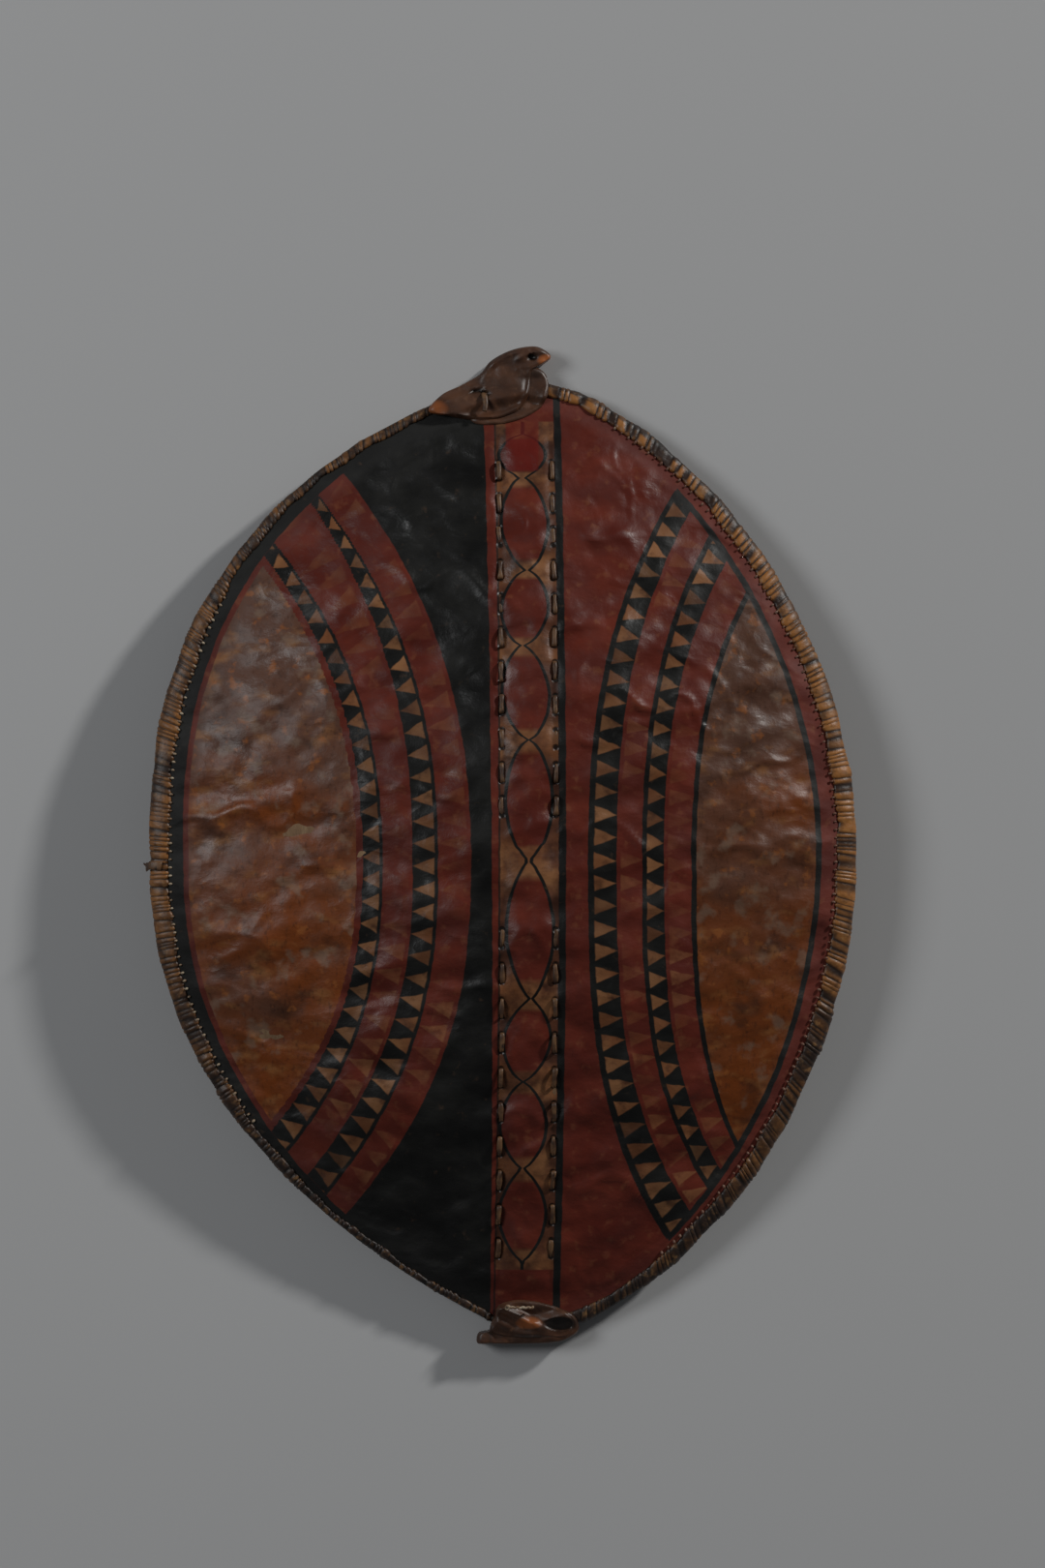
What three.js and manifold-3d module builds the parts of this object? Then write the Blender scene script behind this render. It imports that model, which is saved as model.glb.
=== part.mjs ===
// A painted rawhide shield, laid down on the folded caps of its two tips with the
// painted face up. Millimetres, +Z up, +Y toward the upper tip, origin under its middle.
import * as THREE from "three";
import { mergeGeometries, mergeVertices } from "three/addons/utils/BufferGeometryUtils.js";
import Module from "manifold-3d";

const wasm = await Module();
wasm.setup();

// The hide: a pointed oval, uneven from side to side as a hand-cut hide is
const AXIS_X = 26;
const UPPER_LENGTH = 433;
const LOWER_LENGTH = 458;
const LEFT_REACH = 351;
const RIGHT_REACH = 303;
const LEFT_CURVE = { upper: [2.39, 1.54], lower: [2.34, 1.13] };
const RIGHT_CURVE = { upper: [1.89, 1.57], lower: [2.07, 1.54] };
const HIDE_THICKNESS = 5;
const TIP_HEIGHT = 11;
const SIDE_RISE = 39;
const CREST_RISE = 55;
const END_SWEEP = 1.2;

// The rim binding: a strip of hide folded over the edge
const RIM_COVER = 20;
const RIM_WALL = 3.4;
const RIM_FACE_GAP = 0.75;
const RIM_BACK_GAP = 1;
const RIM_EDGE_GAP = 3.5;
const RIM_WAVE = 1.6;

// Fineness of the hide's grid, whose border the rim follows
const HIDE_COLUMNS = 12;
const HIDE_ROWS = 20;
const TIP_COLUMNS = 12;
const TIP_ROWS = 20;

// The midrib: a stick under the hide, bowed away from it for the hand
const STICK_HALF_WIDTH = 11.5;
const STICK_DEPTH = 17;
const STICK_END_DEPTH = 8;
const STICK_GAP = 0.9;
const GRIP_Y = -20;
const GRIP_BOW = 36;
const GRIP_FLAT = 20;
const GRIP_END = 84;
const WRAP_WALL = 2.5;
const WRAP_HALF_LENGTH = 44;
const WRAP_STATIONS = 8;

// The sleeves that hold the stick, sewn through the hide in two rows
const SLEEVE_WALL = 3;
const SLEEVE_GAP = 0.6;
const SLEEVE_HALF_WIDTH = 38;
const ROW_GAUGE = 24.5;
const ROW_BOW = 5.5;
const DASH = 16;
const UPPER_SEAM = { first: 354, pitch: 31, dashes: 11, from: 37, to: 382, stickEnd: 370 };
const LOWER_SEAM = { first: -76, pitch: 32, dashes: 10, from: -77, to: -396, stickEnd: -384 };
const THONG_WIDTH = 4.4;
const THONG_THICKNESS = 2.2;
const THONG_GAP = 0.4;
const HOLE_ROOM = 1;

// The caps: thick hide folded over each tip, worn flat underneath
const CAP_TOP = 12.5;
const CAP_FLAP = 10.5;
const CAP_DEPTH = 15;
const CAP_ROOM = 1.6;
const CAP_ROUND = 2.5;
const POCKET_FLOOR = 9.2;
const CAP_STITCH = { left: 6, right: 29, y: -427, width: 4, leg: 4 };
const CAP_TAIL = { x: -15, y: 416, width: 4.8, leg: 4, length: 13 };
const POCKET = { x: 55, y: -443, halfWidth: 15, halfLength: 6.5 };

const CENTRE = new THREE.Vector2(AXIS_X, 0);
const HALF_HIDE = HIDE_THICKNESS / 2;
const RIM_TOP = HALF_HIDE + RIM_FACE_GAP + RIM_WALL;
const RIM_BOTTOM = HALF_HIDE + RIM_BACK_GAP + RIM_WALL;

const paint = {
  hide: new THREE.MeshStandardMaterial({ color: 0x6b3a30, roughness: 0.55, metalness: 0 }),
  rim: new THREE.MeshStandardMaterial({ color: 0x8a6136, roughness: 0.6, metalness: 0 }),
  cap: new THREE.MeshStandardMaterial({ color: 0x7d6f5c, roughness: 0.5, metalness: 0 }),
  wood: new THREE.MeshStandardMaterial({ color: 0x7a5a3a, roughness: 0.7, metalness: 0 }),
  sleeve: new THREE.MeshStandardMaterial({ color: 0x9a7a54, roughness: 0.75, metalness: 0 }),
  grip: new THREE.MeshStandardMaterial({ color: 0x5a3c26, roughness: 0.5, metalness: 0 }),
  thong: new THREE.MeshStandardMaterial({ color: 0xb08a5c, roughness: 0.6, metalness: 0 }),
};

// ---- Shape of the hide ----

function curveOf(x, y) {
  const side = x < AXIS_X ? LEFT_CURVE : RIGHT_CURVE;
  const [rise, spread] = y < 0 ? side.lower : side.upper;
  return {
    rise,
    spread,
    reach: x < AXIS_X ? LEFT_REACH : RIGHT_REACH,
    length: y < 0 ? LOWER_LENGTH : UPPER_LENGTH,
  };
}

// Point of the shield's outline in plan, angle running anticlockwise from +X
function outline(angle) {
  const across = Math.cos(angle);
  const along = Math.sin(angle);
  const curve = curveOf(AXIS_X + across, along);
  const x = Math.sign(across) * curve.reach * Math.abs(across) ** (2 / curve.spread);
  const y = Math.sign(along) * curve.length * Math.abs(along) ** (2 / curve.rise);
  return new THREE.Vector2(AXIS_X + x, y);
}

// How much farther the outline lies along its ray than square to its edge
function slant(angle) {
  const step = 0.02;
  const along = outline(angle + step).sub(outline(angle - step)).normalize();
  const ray = outline(angle).sub(CENTRE).normalize();
  return 1 / Math.abs(along.cross(ray));
}

// The outline moved inward by a distance measured square to the edge
function insetOutline(angle, inset) {
  const lean = (slant(angle - 0.04) + slant(angle + 0.04)) / 2;
  const edge = outline(angle);
  const ray = edge.clone().sub(CENTRE).normalize();
  return edge.addScaledVector(ray, -inset * lean);
}

function halfWidth(x, y) {
  const curve = curveOf(x, y);
  const share = Math.min(Math.abs(y) / curve.length, 1);
  return curve.reach * (1 - share ** curve.rise) ** (1 / curve.spread);
}

// Height of the middle of the hide: domed across, swept down to both tips
function hideHeight(x, y) {
  const along = Math.min(Math.abs(y) / curveOf(x, y).length, 1);
  const swell = (1 - along * along) ** END_SWEEP;
  const across = Math.min(Math.abs(x - AXIS_X) / Math.max(halfWidth(x, y), 1), 1);
  return TIP_HEIGHT + swell * (SIDE_RISE + CREST_RISE * (1 - across * across));
}

// Middle line of the stick and its two rows of lacing
function midline(y) {
  return AXIS_X - ROW_BOW * (y / UPPER_LENGTH) ** 2;
}

// ---- Closed meshes ----

function closedMesh(points, faces) {
  const geometry = new THREE.BufferGeometry().setFromPoints(points);
  const volume = faces.reduce((sum, [a, b, c]) => {
    return sum + points[a].dot(points[b].clone().cross(points[c]));
  }, 0);
  const turned = volume < 0 ? faces.map(([a, b, c]) => [a, c, b]) : faces;
  geometry.setIndex(turned.flat());
  return geometry;
}

function quad(a, b, c, d) {
  return [[a, b, c], [a, c, d]];
}

// A slab over a closed plan edge, on a square grid bent to fill the edge. Its top and
// bottom are heights at a place and its reach, from 0 at the centre to 1 at the edge.
function slab(edge, centre, columns, rows, top, bottom) {
  const plan = [];
  for (let j = 0; j <= rows; j++) {
    for (let i = 0; i <= columns; i++) {
      const u = (2 * i) / columns - 1;
      const v = (2 * j) / rows - 1;
      const disc = new THREE.Vector2(u * Math.sqrt(1 - v * v / 2), v * Math.sqrt(1 - u * u / 2));
      const { x, y } = centre.clone().lerp(edge(disc.angle()), disc.length());
      plan.push([x, y, disc.length()]);
    }
  }
  const count = plan.length;
  const points = [
    ...plan.map(([x, y, reach]) => new THREE.Vector3(x, y, top(x, y, reach))),
    ...plan.map(([x, y, reach]) => new THREE.Vector3(x, y, bottom(x, y, reach))),
  ];
  const at = (i, j) => j * (columns + 1) + i;
  const faces = [];
  for (let j = 0; j < rows; j++) {
    for (let i = 0; i < columns; i++) {
      const corners = [at(i, j), at(i + 1, j), at(i + 1, j + 1), at(i, j + 1)];
      const rising = (i < columns / 2) === (j < rows / 2);
      const cell = rising ? corners : [...corners.slice(1), corners[0]];
      faces.push(...quad(...cell));
      faces.push(...quad(...cell.map((k) => k + count).reverse()));
    }
  }
  const border = [];
  for (let i = 0; i < columns; i++) border.push(at(i, 0));
  for (let j = 0; j < rows; j++) border.push(at(columns, j));
  for (let i = columns; i > 0; i--) border.push(at(i, rows));
  for (let j = rows; j > 0; j--) border.push(at(0, j));
  border.forEach((a, k) => {
    const b = border[(k + 1) % border.length];
    faces.push(...quad(a + count, b + count, b, a));
  });
  return closedMesh(points, faces);
}

// Skin over a row of matching rings, closed into a loop or closed at both ends
function loft(rings, endFaces) {
  const count = rings[0].length;
  const points = rings.flat();
  const faces = [];
  const spans = endFaces ? rings.length - 1 : rings.length;
  for (let r = 0; r < spans; r++) {
    const next = ((r + 1) % rings.length) * count;
    for (let k = 0; k < count; k++) {
      const k1 = (k + 1) % count;
      faces.push(...quad(r * count + k, r * count + k1, next + k1, next + k));
    }
  }
  if (endFaces) {
    const last = (rings.length - 1) * count;
    endFaces.forEach(([a, b, c]) => {
      faces.push([a, c, b], [a + last, b + last, c + last]);
    });
  }
  return closedMesh(points, faces);
}

// A flat shape pushed through a depth, then placed point by point
function extruded(outlinePoints, depth, place) {
  const shape = new THREE.Shape(outlinePoints);
  const raw = new THREE.ExtrudeGeometry(shape, { depth, bevelEnabled: false });
  raw.deleteAttribute("normal");
  raw.deleteAttribute("uv");
  const merged = mergeVertices(raw, 0.001);
  const source = merged.getAttribute("position");
  const points = [];
  for (let k = 0; k < source.count; k++) {
    points.push(place(source.getX(k), source.getY(k), source.getZ(k)));
  }
  const index = Array.from(merged.index.array);
  const faces = [];
  for (let k = 0; k < index.length; k += 3) faces.push(index.slice(k, k + 3));
  return closedMesh(points, faces);
}

function block(width, length, height, x, y, z) {
  const box = new THREE.BoxGeometry(width, length, height);
  box.deleteAttribute("normal");
  box.deleteAttribute("uv");
  return mergeVertices(box, 0.001).translate(x, y, z);
}

// ---- Joining and cutting ----

function toSolid(geometry) {
  const numbers = Float32Array.from(geometry.getAttribute("position").array);
  const triangles = Uint32Array.from(geometry.index.array);
  return new wasm.Manifold(
    new wasm.Mesh({ numProp: 3, vertProperties: numbers, triVerts: triangles }),
  );
}

function toGeometry(solid) {
  const mesh = solid.getMesh();
  const geometry = new THREE.BufferGeometry();
  geometry.setAttribute("position", new THREE.BufferAttribute(mesh.vertProperties, 3));
  geometry.setIndex(Array.from(mesh.triVerts));
  return geometry;
}

function cut(geometry, ...cutters) {
  const left = cutters.reduce((solid, cutter) => solid.subtract(toSolid(cutter)), toSolid(geometry));
  return toGeometry(left);
}

function joined(first, second) {
  return toGeometry(toSolid(first).add(toSolid(second)));
}

// ---- The stick, its wrapping and its sleeves ----

// How far the stick stands off the hide, from nothing to the full bow at the grip
function bow(y) {
  return GRIP_BOW * (1 - THREE.MathUtils.smoothstep(Math.abs(y - GRIP_Y), GRIP_FLAT, GRIP_END));
}

function stickDepth(y) {
  const share = Math.abs(y) / UPPER_LENGTH;
  return STICK_DEPTH - (STICK_DEPTH - STICK_END_DEPTH) * share ** 2 * 1.25;
}

function stickTop(y) {
  return hideHeight(midline(y), y) - HALF_HIDE - STICK_GAP - bow(y);
}

// Stations along a seam, shared by the stick and the sleeve around it
function stations(from, to, count) {
  return Array.from({ length: count + 1 }, (_, k) => from + ((to - from) * k) / count);
}

const SEAM_STATIONS = 8;
const sleeveStations = {
  upper: stations(UPPER_SEAM.from, UPPER_SEAM.to, SEAM_STATIONS),
  lower: stations(LOWER_SEAM.from, LOWER_SEAM.to, SEAM_STATIONS),
};

function stickRing(y, swell = 0) {
  const half = STICK_HALF_WIDTH + swell;
  const top = stickTop(y) + swell;
  const depth = stickDepth(y) + 2 * swell;
  const corner = depth / 4;
  const section = [
    [-half + corner, 0],
    [-half, -corner],
    [-half, -0.6 * depth],
    [-0.55 * half, -depth],
    [0.55 * half, -depth],
    [half, -0.6 * depth],
    [half, -corner],
    [half - corner, 0],
  ];
  return section.map(([x, z]) => new THREE.Vector3(midline(y) + x, y, top + z));
}

function endFacesOf(ring) {
  return THREE.ShapeUtils.triangulateShape(ring.map((p) => new THREE.Vector2(p.x, p.z)), []);
}

function stick() {
  const bowed = stations(UPPER_SEAM.from, LOWER_SEAM.from, 10).slice(1, -1);
  const upper = sleeveStations.upper.slice(0, -1);
  const lower = sleeveStations.lower.slice(0, -1);
  const along = [UPPER_SEAM.stickEnd, ...upper.reverse(), ...bowed, ...lower, LOWER_SEAM.stickEnd];
  const rings = along.map((y) => stickRing(y));
  return loft(rings, endFacesOf(rings[0]));
}

// A strip of leather closed round the grip, its two edges meeting toward the hide
function gripWrap() {
  const wrapped = stations(GRIP_Y + WRAP_HALF_LENGTH, GRIP_Y - WRAP_HALF_LENGTH, WRAP_STATIONS);
  const rings = wrapped.map((y) => {
    const inner = stickRing(y, 0.5);
    const outer = stickRing(y, 0.5 + WRAP_WALL);
    const middle = midline(y);
    const lip = (ring, side) => new THREE.Vector3(middle + side * 0.4, y, ring[0].z);
    return [
      lip(outer, -1),
      ...outer,
      lip(outer, 1),
      lip(inner, 1),
      ...[...inner].reverse(),
      lip(inner, -1),
    ];
  });
  return loft(rings, endFacesOf(rings[0]));
}

function sleeveRing(y) {
  const under = (x, drop) => {
    const across = midline(y) + x;
    const z = hideHeight(across, y) - HALF_HIDE - SLEEVE_GAP - drop;
    return new THREE.Vector3(across, y, z);
  };
  const hollow = STICK_HALF_WIDTH + 1.5;
  const crown = hollow + SLEEVE_WALL;
  const depth = stickDepth(y) + bow(y) + 1.2;
  return [
    under(-SLEEVE_HALF_WIDTH, 0),
    under(-SLEEVE_HALF_WIDTH, SLEEVE_WALL),
    under(-crown - 1.5, SLEEVE_WALL),
    under(-crown + 1, 0.8 * depth + SLEEVE_WALL),
    under(-0.5 * crown, depth + SLEEVE_WALL),
    under(0.5 * crown, depth + SLEEVE_WALL),
    under(crown - 1, 0.8 * depth + SLEEVE_WALL),
    under(crown + 1.5, SLEEVE_WALL),
    under(SLEEVE_HALF_WIDTH, SLEEVE_WALL),
    under(SLEEVE_HALF_WIDTH, 0),
    under(hollow, 0),
    under(hollow, 0.66 * depth),
    under(0.64 * hollow, depth),
    under(-0.64 * hollow, depth),
    under(-hollow, 0.66 * depth),
    under(-hollow, 0),
  ];
}

function sleeve(along) {
  const rings = along.map(sleeveRing);
  return loft(rings, endFacesOf(rings[0]));
}

// ---- The lacing: one thong a row, in and out in a running stitch ----

function rowX(side, y) {
  return midline(y) + side * ROW_GAUGE;
}

function dashEnds(seam) {
  return Array.from({ length: seam.dashes }, (_, k) => {
    const start = seam.first - k * seam.pitch;
    return [start, start - DASH];
  });
}

function lacing(side, seam) {
  const half = THONG_THICKNESS / 2;
  const hide = (y) => hideHeight(rowX(side, y), y);
  const face = (y) => hide(y) + HALF_HIDE + THONG_GAP;
  const back = (y) => hide(y) - HALF_HIDE - SLEEVE_GAP - SLEEVE_WALL - THONG_GAP - 0.3;
  const outer = [];
  const inner = [];
  dashEnds(seam).forEach(([start, end], k) => {
    const tail = k === 0 ? THONG_THICKNESS : 0;
    const tip = k === seam.dashes - 1 ? THONG_THICKNESS : 0;
    outer.push([start + half, back(start) - tail]);
    outer.push([start + half, face(start) + THONG_THICKNESS]);
    outer.push([end - half, face(end) + THONG_THICKNESS]);
    outer.push([end - half, back(end) - tip]);
    inner.push([start - half, back(start) - THONG_THICKNESS]);
    inner.push([start - half, face(start)]);
    inner.push([end + half, face(end)]);
    inner.push([end + half, back(end) - THONG_THICKNESS]);
  });
  const loop = [...outer, ...inner.reverse()].map(([y, z]) => new THREE.Vector2(y, z));
  return extruded(loop, THONG_WIDTH, (y, z, depth) => {
    return new THREE.Vector3(rowX(side, y) + depth - THONG_WIDTH / 2, y, z);
  });
}

function lacingHoles(seam) {
  const holes = [-1, 1].flatMap((side) => {
    return dashEnds(seam).flat().map((y) => {
      const x = rowX(side, y);
      const length = THONG_THICKNESS + HOLE_ROOM;
      return block(THONG_WIDTH + HOLE_ROOM, length, 26, x, y, hideHeight(x, y));
    });
  });
  return mergeGeometries(holes);
}

// ---- The hide panel and its rim ----

function hidePanel() {
  const edge = (angle) => insetOutline(angle, RIM_EDGE_GAP + 0.5);
  const top = (x, y) => hideHeight(x, y) + HALF_HIDE;
  const bottom = (x, y) => hideHeight(x, y) - HALF_HIDE;
  const panel = slab(edge, CENTRE, HIDE_COLUMNS, HIDE_ROWS, top, bottom);
  return cut(panel, lacingHoles(UPPER_SEAM), lacingHoles(LOWER_SEAM));
}

// Angles at which the panel's grid meets its edge, so that the rim follows its facets
function edgeAngles(columns, rows) {
  const across = stations(-1, 1, columns);
  const along = stations(-1, 1, rows);
  const bend = (u, v) => new THREE.Vector2(
    u * Math.sqrt(1 - v * v / 2),
    v * Math.sqrt(1 - u * u / 2),
  );
  const ends = [-1, 1].flatMap((v) => across.map((u) => bend(u, v)));
  const sides = [-1, 1].flatMap((u) => along.slice(1, -1).map((v) => bend(u, v)));
  return [...ends, ...sides].map((p) => p.angle()).sort((a, b) => a - b);
}

function rimPoint(angle, inset, rise) {
  const p = insetOutline(angle, inset);
  return new THREE.Vector3(p.x, p.y, hideHeight(p.x, p.y) + rise);
}

function rimBinding() {
  const rings = edgeAngles(HIDE_COLUMNS, HIDE_ROWS).map((angle) => {
    const wave = RIM_WAVE * Math.sin(11 * angle) * Math.cos(4 * angle + 1);
    const cover = RIM_COVER + wave;
    const nose = Math.max(0, 0.5 * Math.sin(17 * angle));
    return [
      rimPoint(angle, cover, HALF_HIDE + RIM_FACE_GAP),
      rimPoint(angle, cover - 1, RIM_TOP - 0.8),
      rimPoint(angle, cover / 2, RIM_TOP),
      rimPoint(angle, 1.4 + nose, RIM_TOP - 2),
      rimPoint(angle, nose, -0.2),
      rimPoint(angle, 1.4 + nose, 2 - RIM_BOTTOM),
      rimPoint(angle, cover / 2, -RIM_BOTTOM),
      rimPoint(angle, cover - 2, 0.6 - RIM_BOTTOM),
      rimPoint(angle, cover - 2, -HALF_HIDE - RIM_BACK_GAP),
      rimPoint(angle, RIM_EDGE_GAP, -HALF_HIDE - RIM_BACK_GAP),
      rimPoint(angle, RIM_EDGE_GAP, HALF_HIDE + RIM_FACE_GAP),
    ];
  });
  return loft(rings, null);
}

// A thong tied over the rim at the left, its end left standing out
function rimTie() {
  const y = -19;
  const edge = AXIS_X - LEFT_REACH;
  const around = [
    [12, RIM_TOP + 0.9],
    [0.6, RIM_TOP - 1.2],
    [-0.9, 0],
    [0.6, 1.2 - RIM_BOTTOM],
    [12, -RIM_BOTTOM - 0.9],
    [12, -RIM_BOTTOM - 2.8],
    [-0.6, -1.4 - RIM_BOTTOM],
    [-2.4, -1.2],
    [-4, -0.4],
    [-2.4, 1.4],
    [-0.8, RIM_TOP + 0.8],
    [12, RIM_TOP + 2.8],
  ];
  const loop = around.map(([inset, rise]) => {
    const x = edge + inset;
    return new THREE.Vector2(x, hideHeight(Math.max(x, edge), y) + rise);
  });
  return extruded(loop, 9, (x, z, depth) => new THREE.Vector3(x, y + depth - 4.5, z));
}

// ---- The caps ----

const CAP_POINTS = {
  top: [
    [28, 433], [30, 441], [40, 447], [46, 453], [36, 461], [26, 462], [8, 458], [-10, 448], [-19, 437],
    [-37, 426], [-55, 417], [-67, 402], [-48, 397], [-21, 393], [-1, 395], [17, 403], [26, 417],
  ],
  topFlap: [
    [45, 426], [38, 440], [15, 445], [-10, 435], [-30, 415], [-28, 392], [-1, 389], [22, 395], [40, 408],
  ],
  bottom: [
    [68, -442], [62, -433], [40, -424], [13, -421], [-3, -427], [-6, -438],
    [-10, -450], [13, -456], [40, -456], [65, -453],
  ],
  bottomFlap: [
    [72, -449], [67, -435], [40, -427], [4, -428], [-8, -440], [-11, -450], [-21, -453],
    [-22, -461], [-8, -462], [29, -462], [58, -459],
  ],
};

// A closed plan curve through a few points, as a function of the angle round it
function roundedEdge(points) {
  const curve = new THREE.CatmullRomCurve3(points.map(([x, y]) => new THREE.Vector3(x, y, 0)), true);
  return (angle) => {
    const p = curve.getPoint(angle / (2 * Math.PI));
    return new THREE.Vector2(p.x, p.y);
  };
}

// Room for the bound tips inside the caps
function tipRoom() {
  const edge = (angle) => insetOutline(angle, -2 * CAP_ROOM);
  const top = (x, y) => hideHeight(x, y) + RIM_TOP + CAP_ROOM;
  const bottom = (x, y) => hideHeight(x, y) - RIM_BOTTOM - CAP_ROOM;
  return slab(edge, CENTRE, TIP_COLUMNS, TIP_ROWS, top, bottom);
}

function capLayer(points, x, y, rise) {
  const rounding = (reach) => (reach > 0.99 ? CAP_ROUND : 0);
  const top = (px, py, reach) => hideHeight(px, py) + rise - rounding(reach);
  const bottom = (px, py, reach) => Math.max(0, hideHeight(px, py) - CAP_DEPTH) + rounding(reach);
  return slab(roundedEdge(points), new THREE.Vector2(x, y), 8, 6, top, bottom);
}

function capTop(x, y) {
  return hideHeight(x, y) + CAP_TOP;
}

function capHole(width, length, x, y) {
  return block(width + HOLE_ROOM, length + HOLE_ROOM, 10, x, y, capTop(x, y));
}

function topCap() {
  const folded = joined(
    capLayer(CAP_POINTS.top, 8, 432, CAP_TOP),
    capLayer(CAP_POINTS.topFlap, 12, 418, CAP_FLAP),
  );
  const slit = capHole(CAP_TAIL.width, THONG_THICKNESS, CAP_TAIL.x, CAP_TAIL.y);
  return cut(folded, tipRoom(), slit);
}

// The lower cap's fold stands open at the right in a small pocket
function pocket() {
  const centre = new THREE.Vector2(POCKET.x, POCKET.y);
  const edge = (angle) => new THREE.Vector2(
    POCKET.x + POCKET.halfWidth * Math.cos(angle),
    POCKET.y + POCKET.halfLength * Math.sin(angle),
  );
  const top = (x, y) => capTop(x, y) + CAP_ROUND;
  const bottom = (x, y) => hideHeight(x, y) + POCKET_FLOOR;
  return slab(edge, centre, 4, 4, top, bottom);
}

function bottomCap() {
  const folded = joined(
    capLayer(CAP_POINTS.bottom, 27, -441, CAP_TOP),
    capLayer(CAP_POINTS.bottomFlap, 27, -446, CAP_FLAP),
  );
  const { left, right, y, width } = CAP_STITCH;
  const holes = [left, right].map((x) => capHole(THONG_THICKNESS, width, x, y));
  return cut(folded, tipRoom(), pocket(), ...holes);
}

// One stitch across the lower cap, knotted at its left end
function bottomCapThong() {
  const { left, right, y, width, leg } = CAP_STITCH;
  const half = THONG_THICKNESS / 2;
  const over = (x) => capTop(x, y) + 2 * THONG_GAP;
  const loop = [
    [left - half, over(left) - leg],
    [left + half, over(left) - leg],
    [left + half, over(left)],
    [right - half, over(right)],
    [right - half, over(right) - leg],
    [right + half, over(right) - leg],
    [right + half, over(right) + THONG_THICKNESS],
    [left - half, over(left) + THONG_THICKNESS],
  ];
  const stitch = extruded(loop.map(([x, z]) => new THREE.Vector2(x, z)), width, (x, z, depth) => {
    return new THREE.Vector3(x, y + depth - width / 2, z);
  });
  const knot = new THREE.SphereGeometry(width * 0.8, 6, 4);
  knot.deleteAttribute("normal");
  knot.deleteAttribute("uv");
  const placed = mergeVertices(knot, 0.001).translate(left, y, over(left) + width * 0.8);
  return joined(stitch, placed);
}

// The end of a thong coming up through a slit in the upper cap and lying down the face
function topCapThong() {
  const { x, y, width, leg, length } = CAP_TAIL;
  const half = THONG_THICKNESS / 2;
  const over = (py) => capTop(x, py) + 2 * THONG_GAP;
  const end = y - length;
  const loop = [
    [y - half, over(y) - leg],
    [y + half, over(y) - leg],
    [y + half, over(y) + THONG_THICKNESS],
    [end, over(end) + THONG_THICKNESS],
    [end, over(end)],
    [y - half, over(y)],
  ];
  return extruded(loop.map(([py, z]) => new THREE.Vector2(py, z)), width, (py, z, depth) => {
    return new THREE.Vector3(x + depth - width / 2, py, z);
  });
}

// ---- The shield ----

const pieces = [
  ["hide_panel", hidePanel(), paint.hide],
  ["rim_binding", rimBinding(), paint.rim],
  ["rim_tie", rimTie(), paint.thong],
  ["midrib_stick", stick(), paint.wood],
  ["grip_wrap", gripWrap(), paint.grip],
  ["upper_sleeve", cut(sleeve(sleeveStations.upper), lacingHoles(UPPER_SEAM)), paint.sleeve],
  ["lower_sleeve", cut(sleeve(sleeveStations.lower), lacingHoles(LOWER_SEAM)), paint.sleeve],
  ["top_cap", topCap(), paint.cap],
  ["top_cap_thong", topCapThong(), paint.thong],
  ["bottom_cap", bottomCap(), paint.cap],
  ["bottom_cap_thong", bottomCapThong(), paint.thong],
  ["lacing_upper_left", lacing(-1, UPPER_SEAM), paint.thong],
  ["lacing_upper_right", lacing(1, UPPER_SEAM), paint.thong],
  ["lacing_lower_left", lacing(-1, LOWER_SEAM), paint.thong],
  ["lacing_lower_right", lacing(1, LOWER_SEAM), paint.thong],
];

const group = new THREE.Group();
pieces.forEach(([name, geometry, material]) => {
  geometry.computeVertexNormals();
  const mesh = new THREE.Mesh(geometry, material);
  mesh.name = name;
  group.add(mesh);
});

export default group;
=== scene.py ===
"""A painted rawhide shield lying face up on its two tip caps, seen from straight above."""
import math

import bpy
import numpy as np
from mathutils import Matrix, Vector


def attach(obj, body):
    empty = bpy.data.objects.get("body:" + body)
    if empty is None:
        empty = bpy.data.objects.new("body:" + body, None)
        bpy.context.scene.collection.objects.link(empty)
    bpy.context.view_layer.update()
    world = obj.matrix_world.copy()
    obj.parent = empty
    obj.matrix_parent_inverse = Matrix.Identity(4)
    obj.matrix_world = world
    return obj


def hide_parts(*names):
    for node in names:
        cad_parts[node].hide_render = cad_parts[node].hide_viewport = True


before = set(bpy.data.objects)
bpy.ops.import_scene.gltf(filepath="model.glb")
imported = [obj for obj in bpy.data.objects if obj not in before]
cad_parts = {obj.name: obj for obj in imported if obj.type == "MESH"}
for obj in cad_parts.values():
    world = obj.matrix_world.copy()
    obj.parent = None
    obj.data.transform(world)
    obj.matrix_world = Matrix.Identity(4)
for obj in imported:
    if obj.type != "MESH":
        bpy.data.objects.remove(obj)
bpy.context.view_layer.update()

MM = 0.001

# The hide's outline and dome, in metres, as the model has them
AXIS_X = 0.026
UPPER_LENGTH = 0.433
LOWER_LENGTH = 0.458
LEFT_REACH = 0.351
RIGHT_REACH = 0.303
LEFT_POWERS = {"upper": (2.39, 1.54), "lower": (2.34, 1.13)}
RIGHT_POWERS = {"upper": (1.89, 1.57), "lower": (2.07, 1.54)}
TIP_HEIGHT = 0.011
SIDE_RISE = 0.039
CREST_RISE = 0.055
END_SWEEP = 1.2
HALF_HIDE = 0.0025

# Lacing
ROW_GAUGE = 0.0245
ROW_BOW = 0.0055
DASH = 0.016
UPPER_SEAM = {"first": 0.354, "pitch": 0.031, "dashes": 11}
LOWER_SEAM = {"first": -0.076, "pitch": 0.032, "dashes": 10}

scene = bpy.context.scene


# ---- Shape of the hide ----

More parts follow.
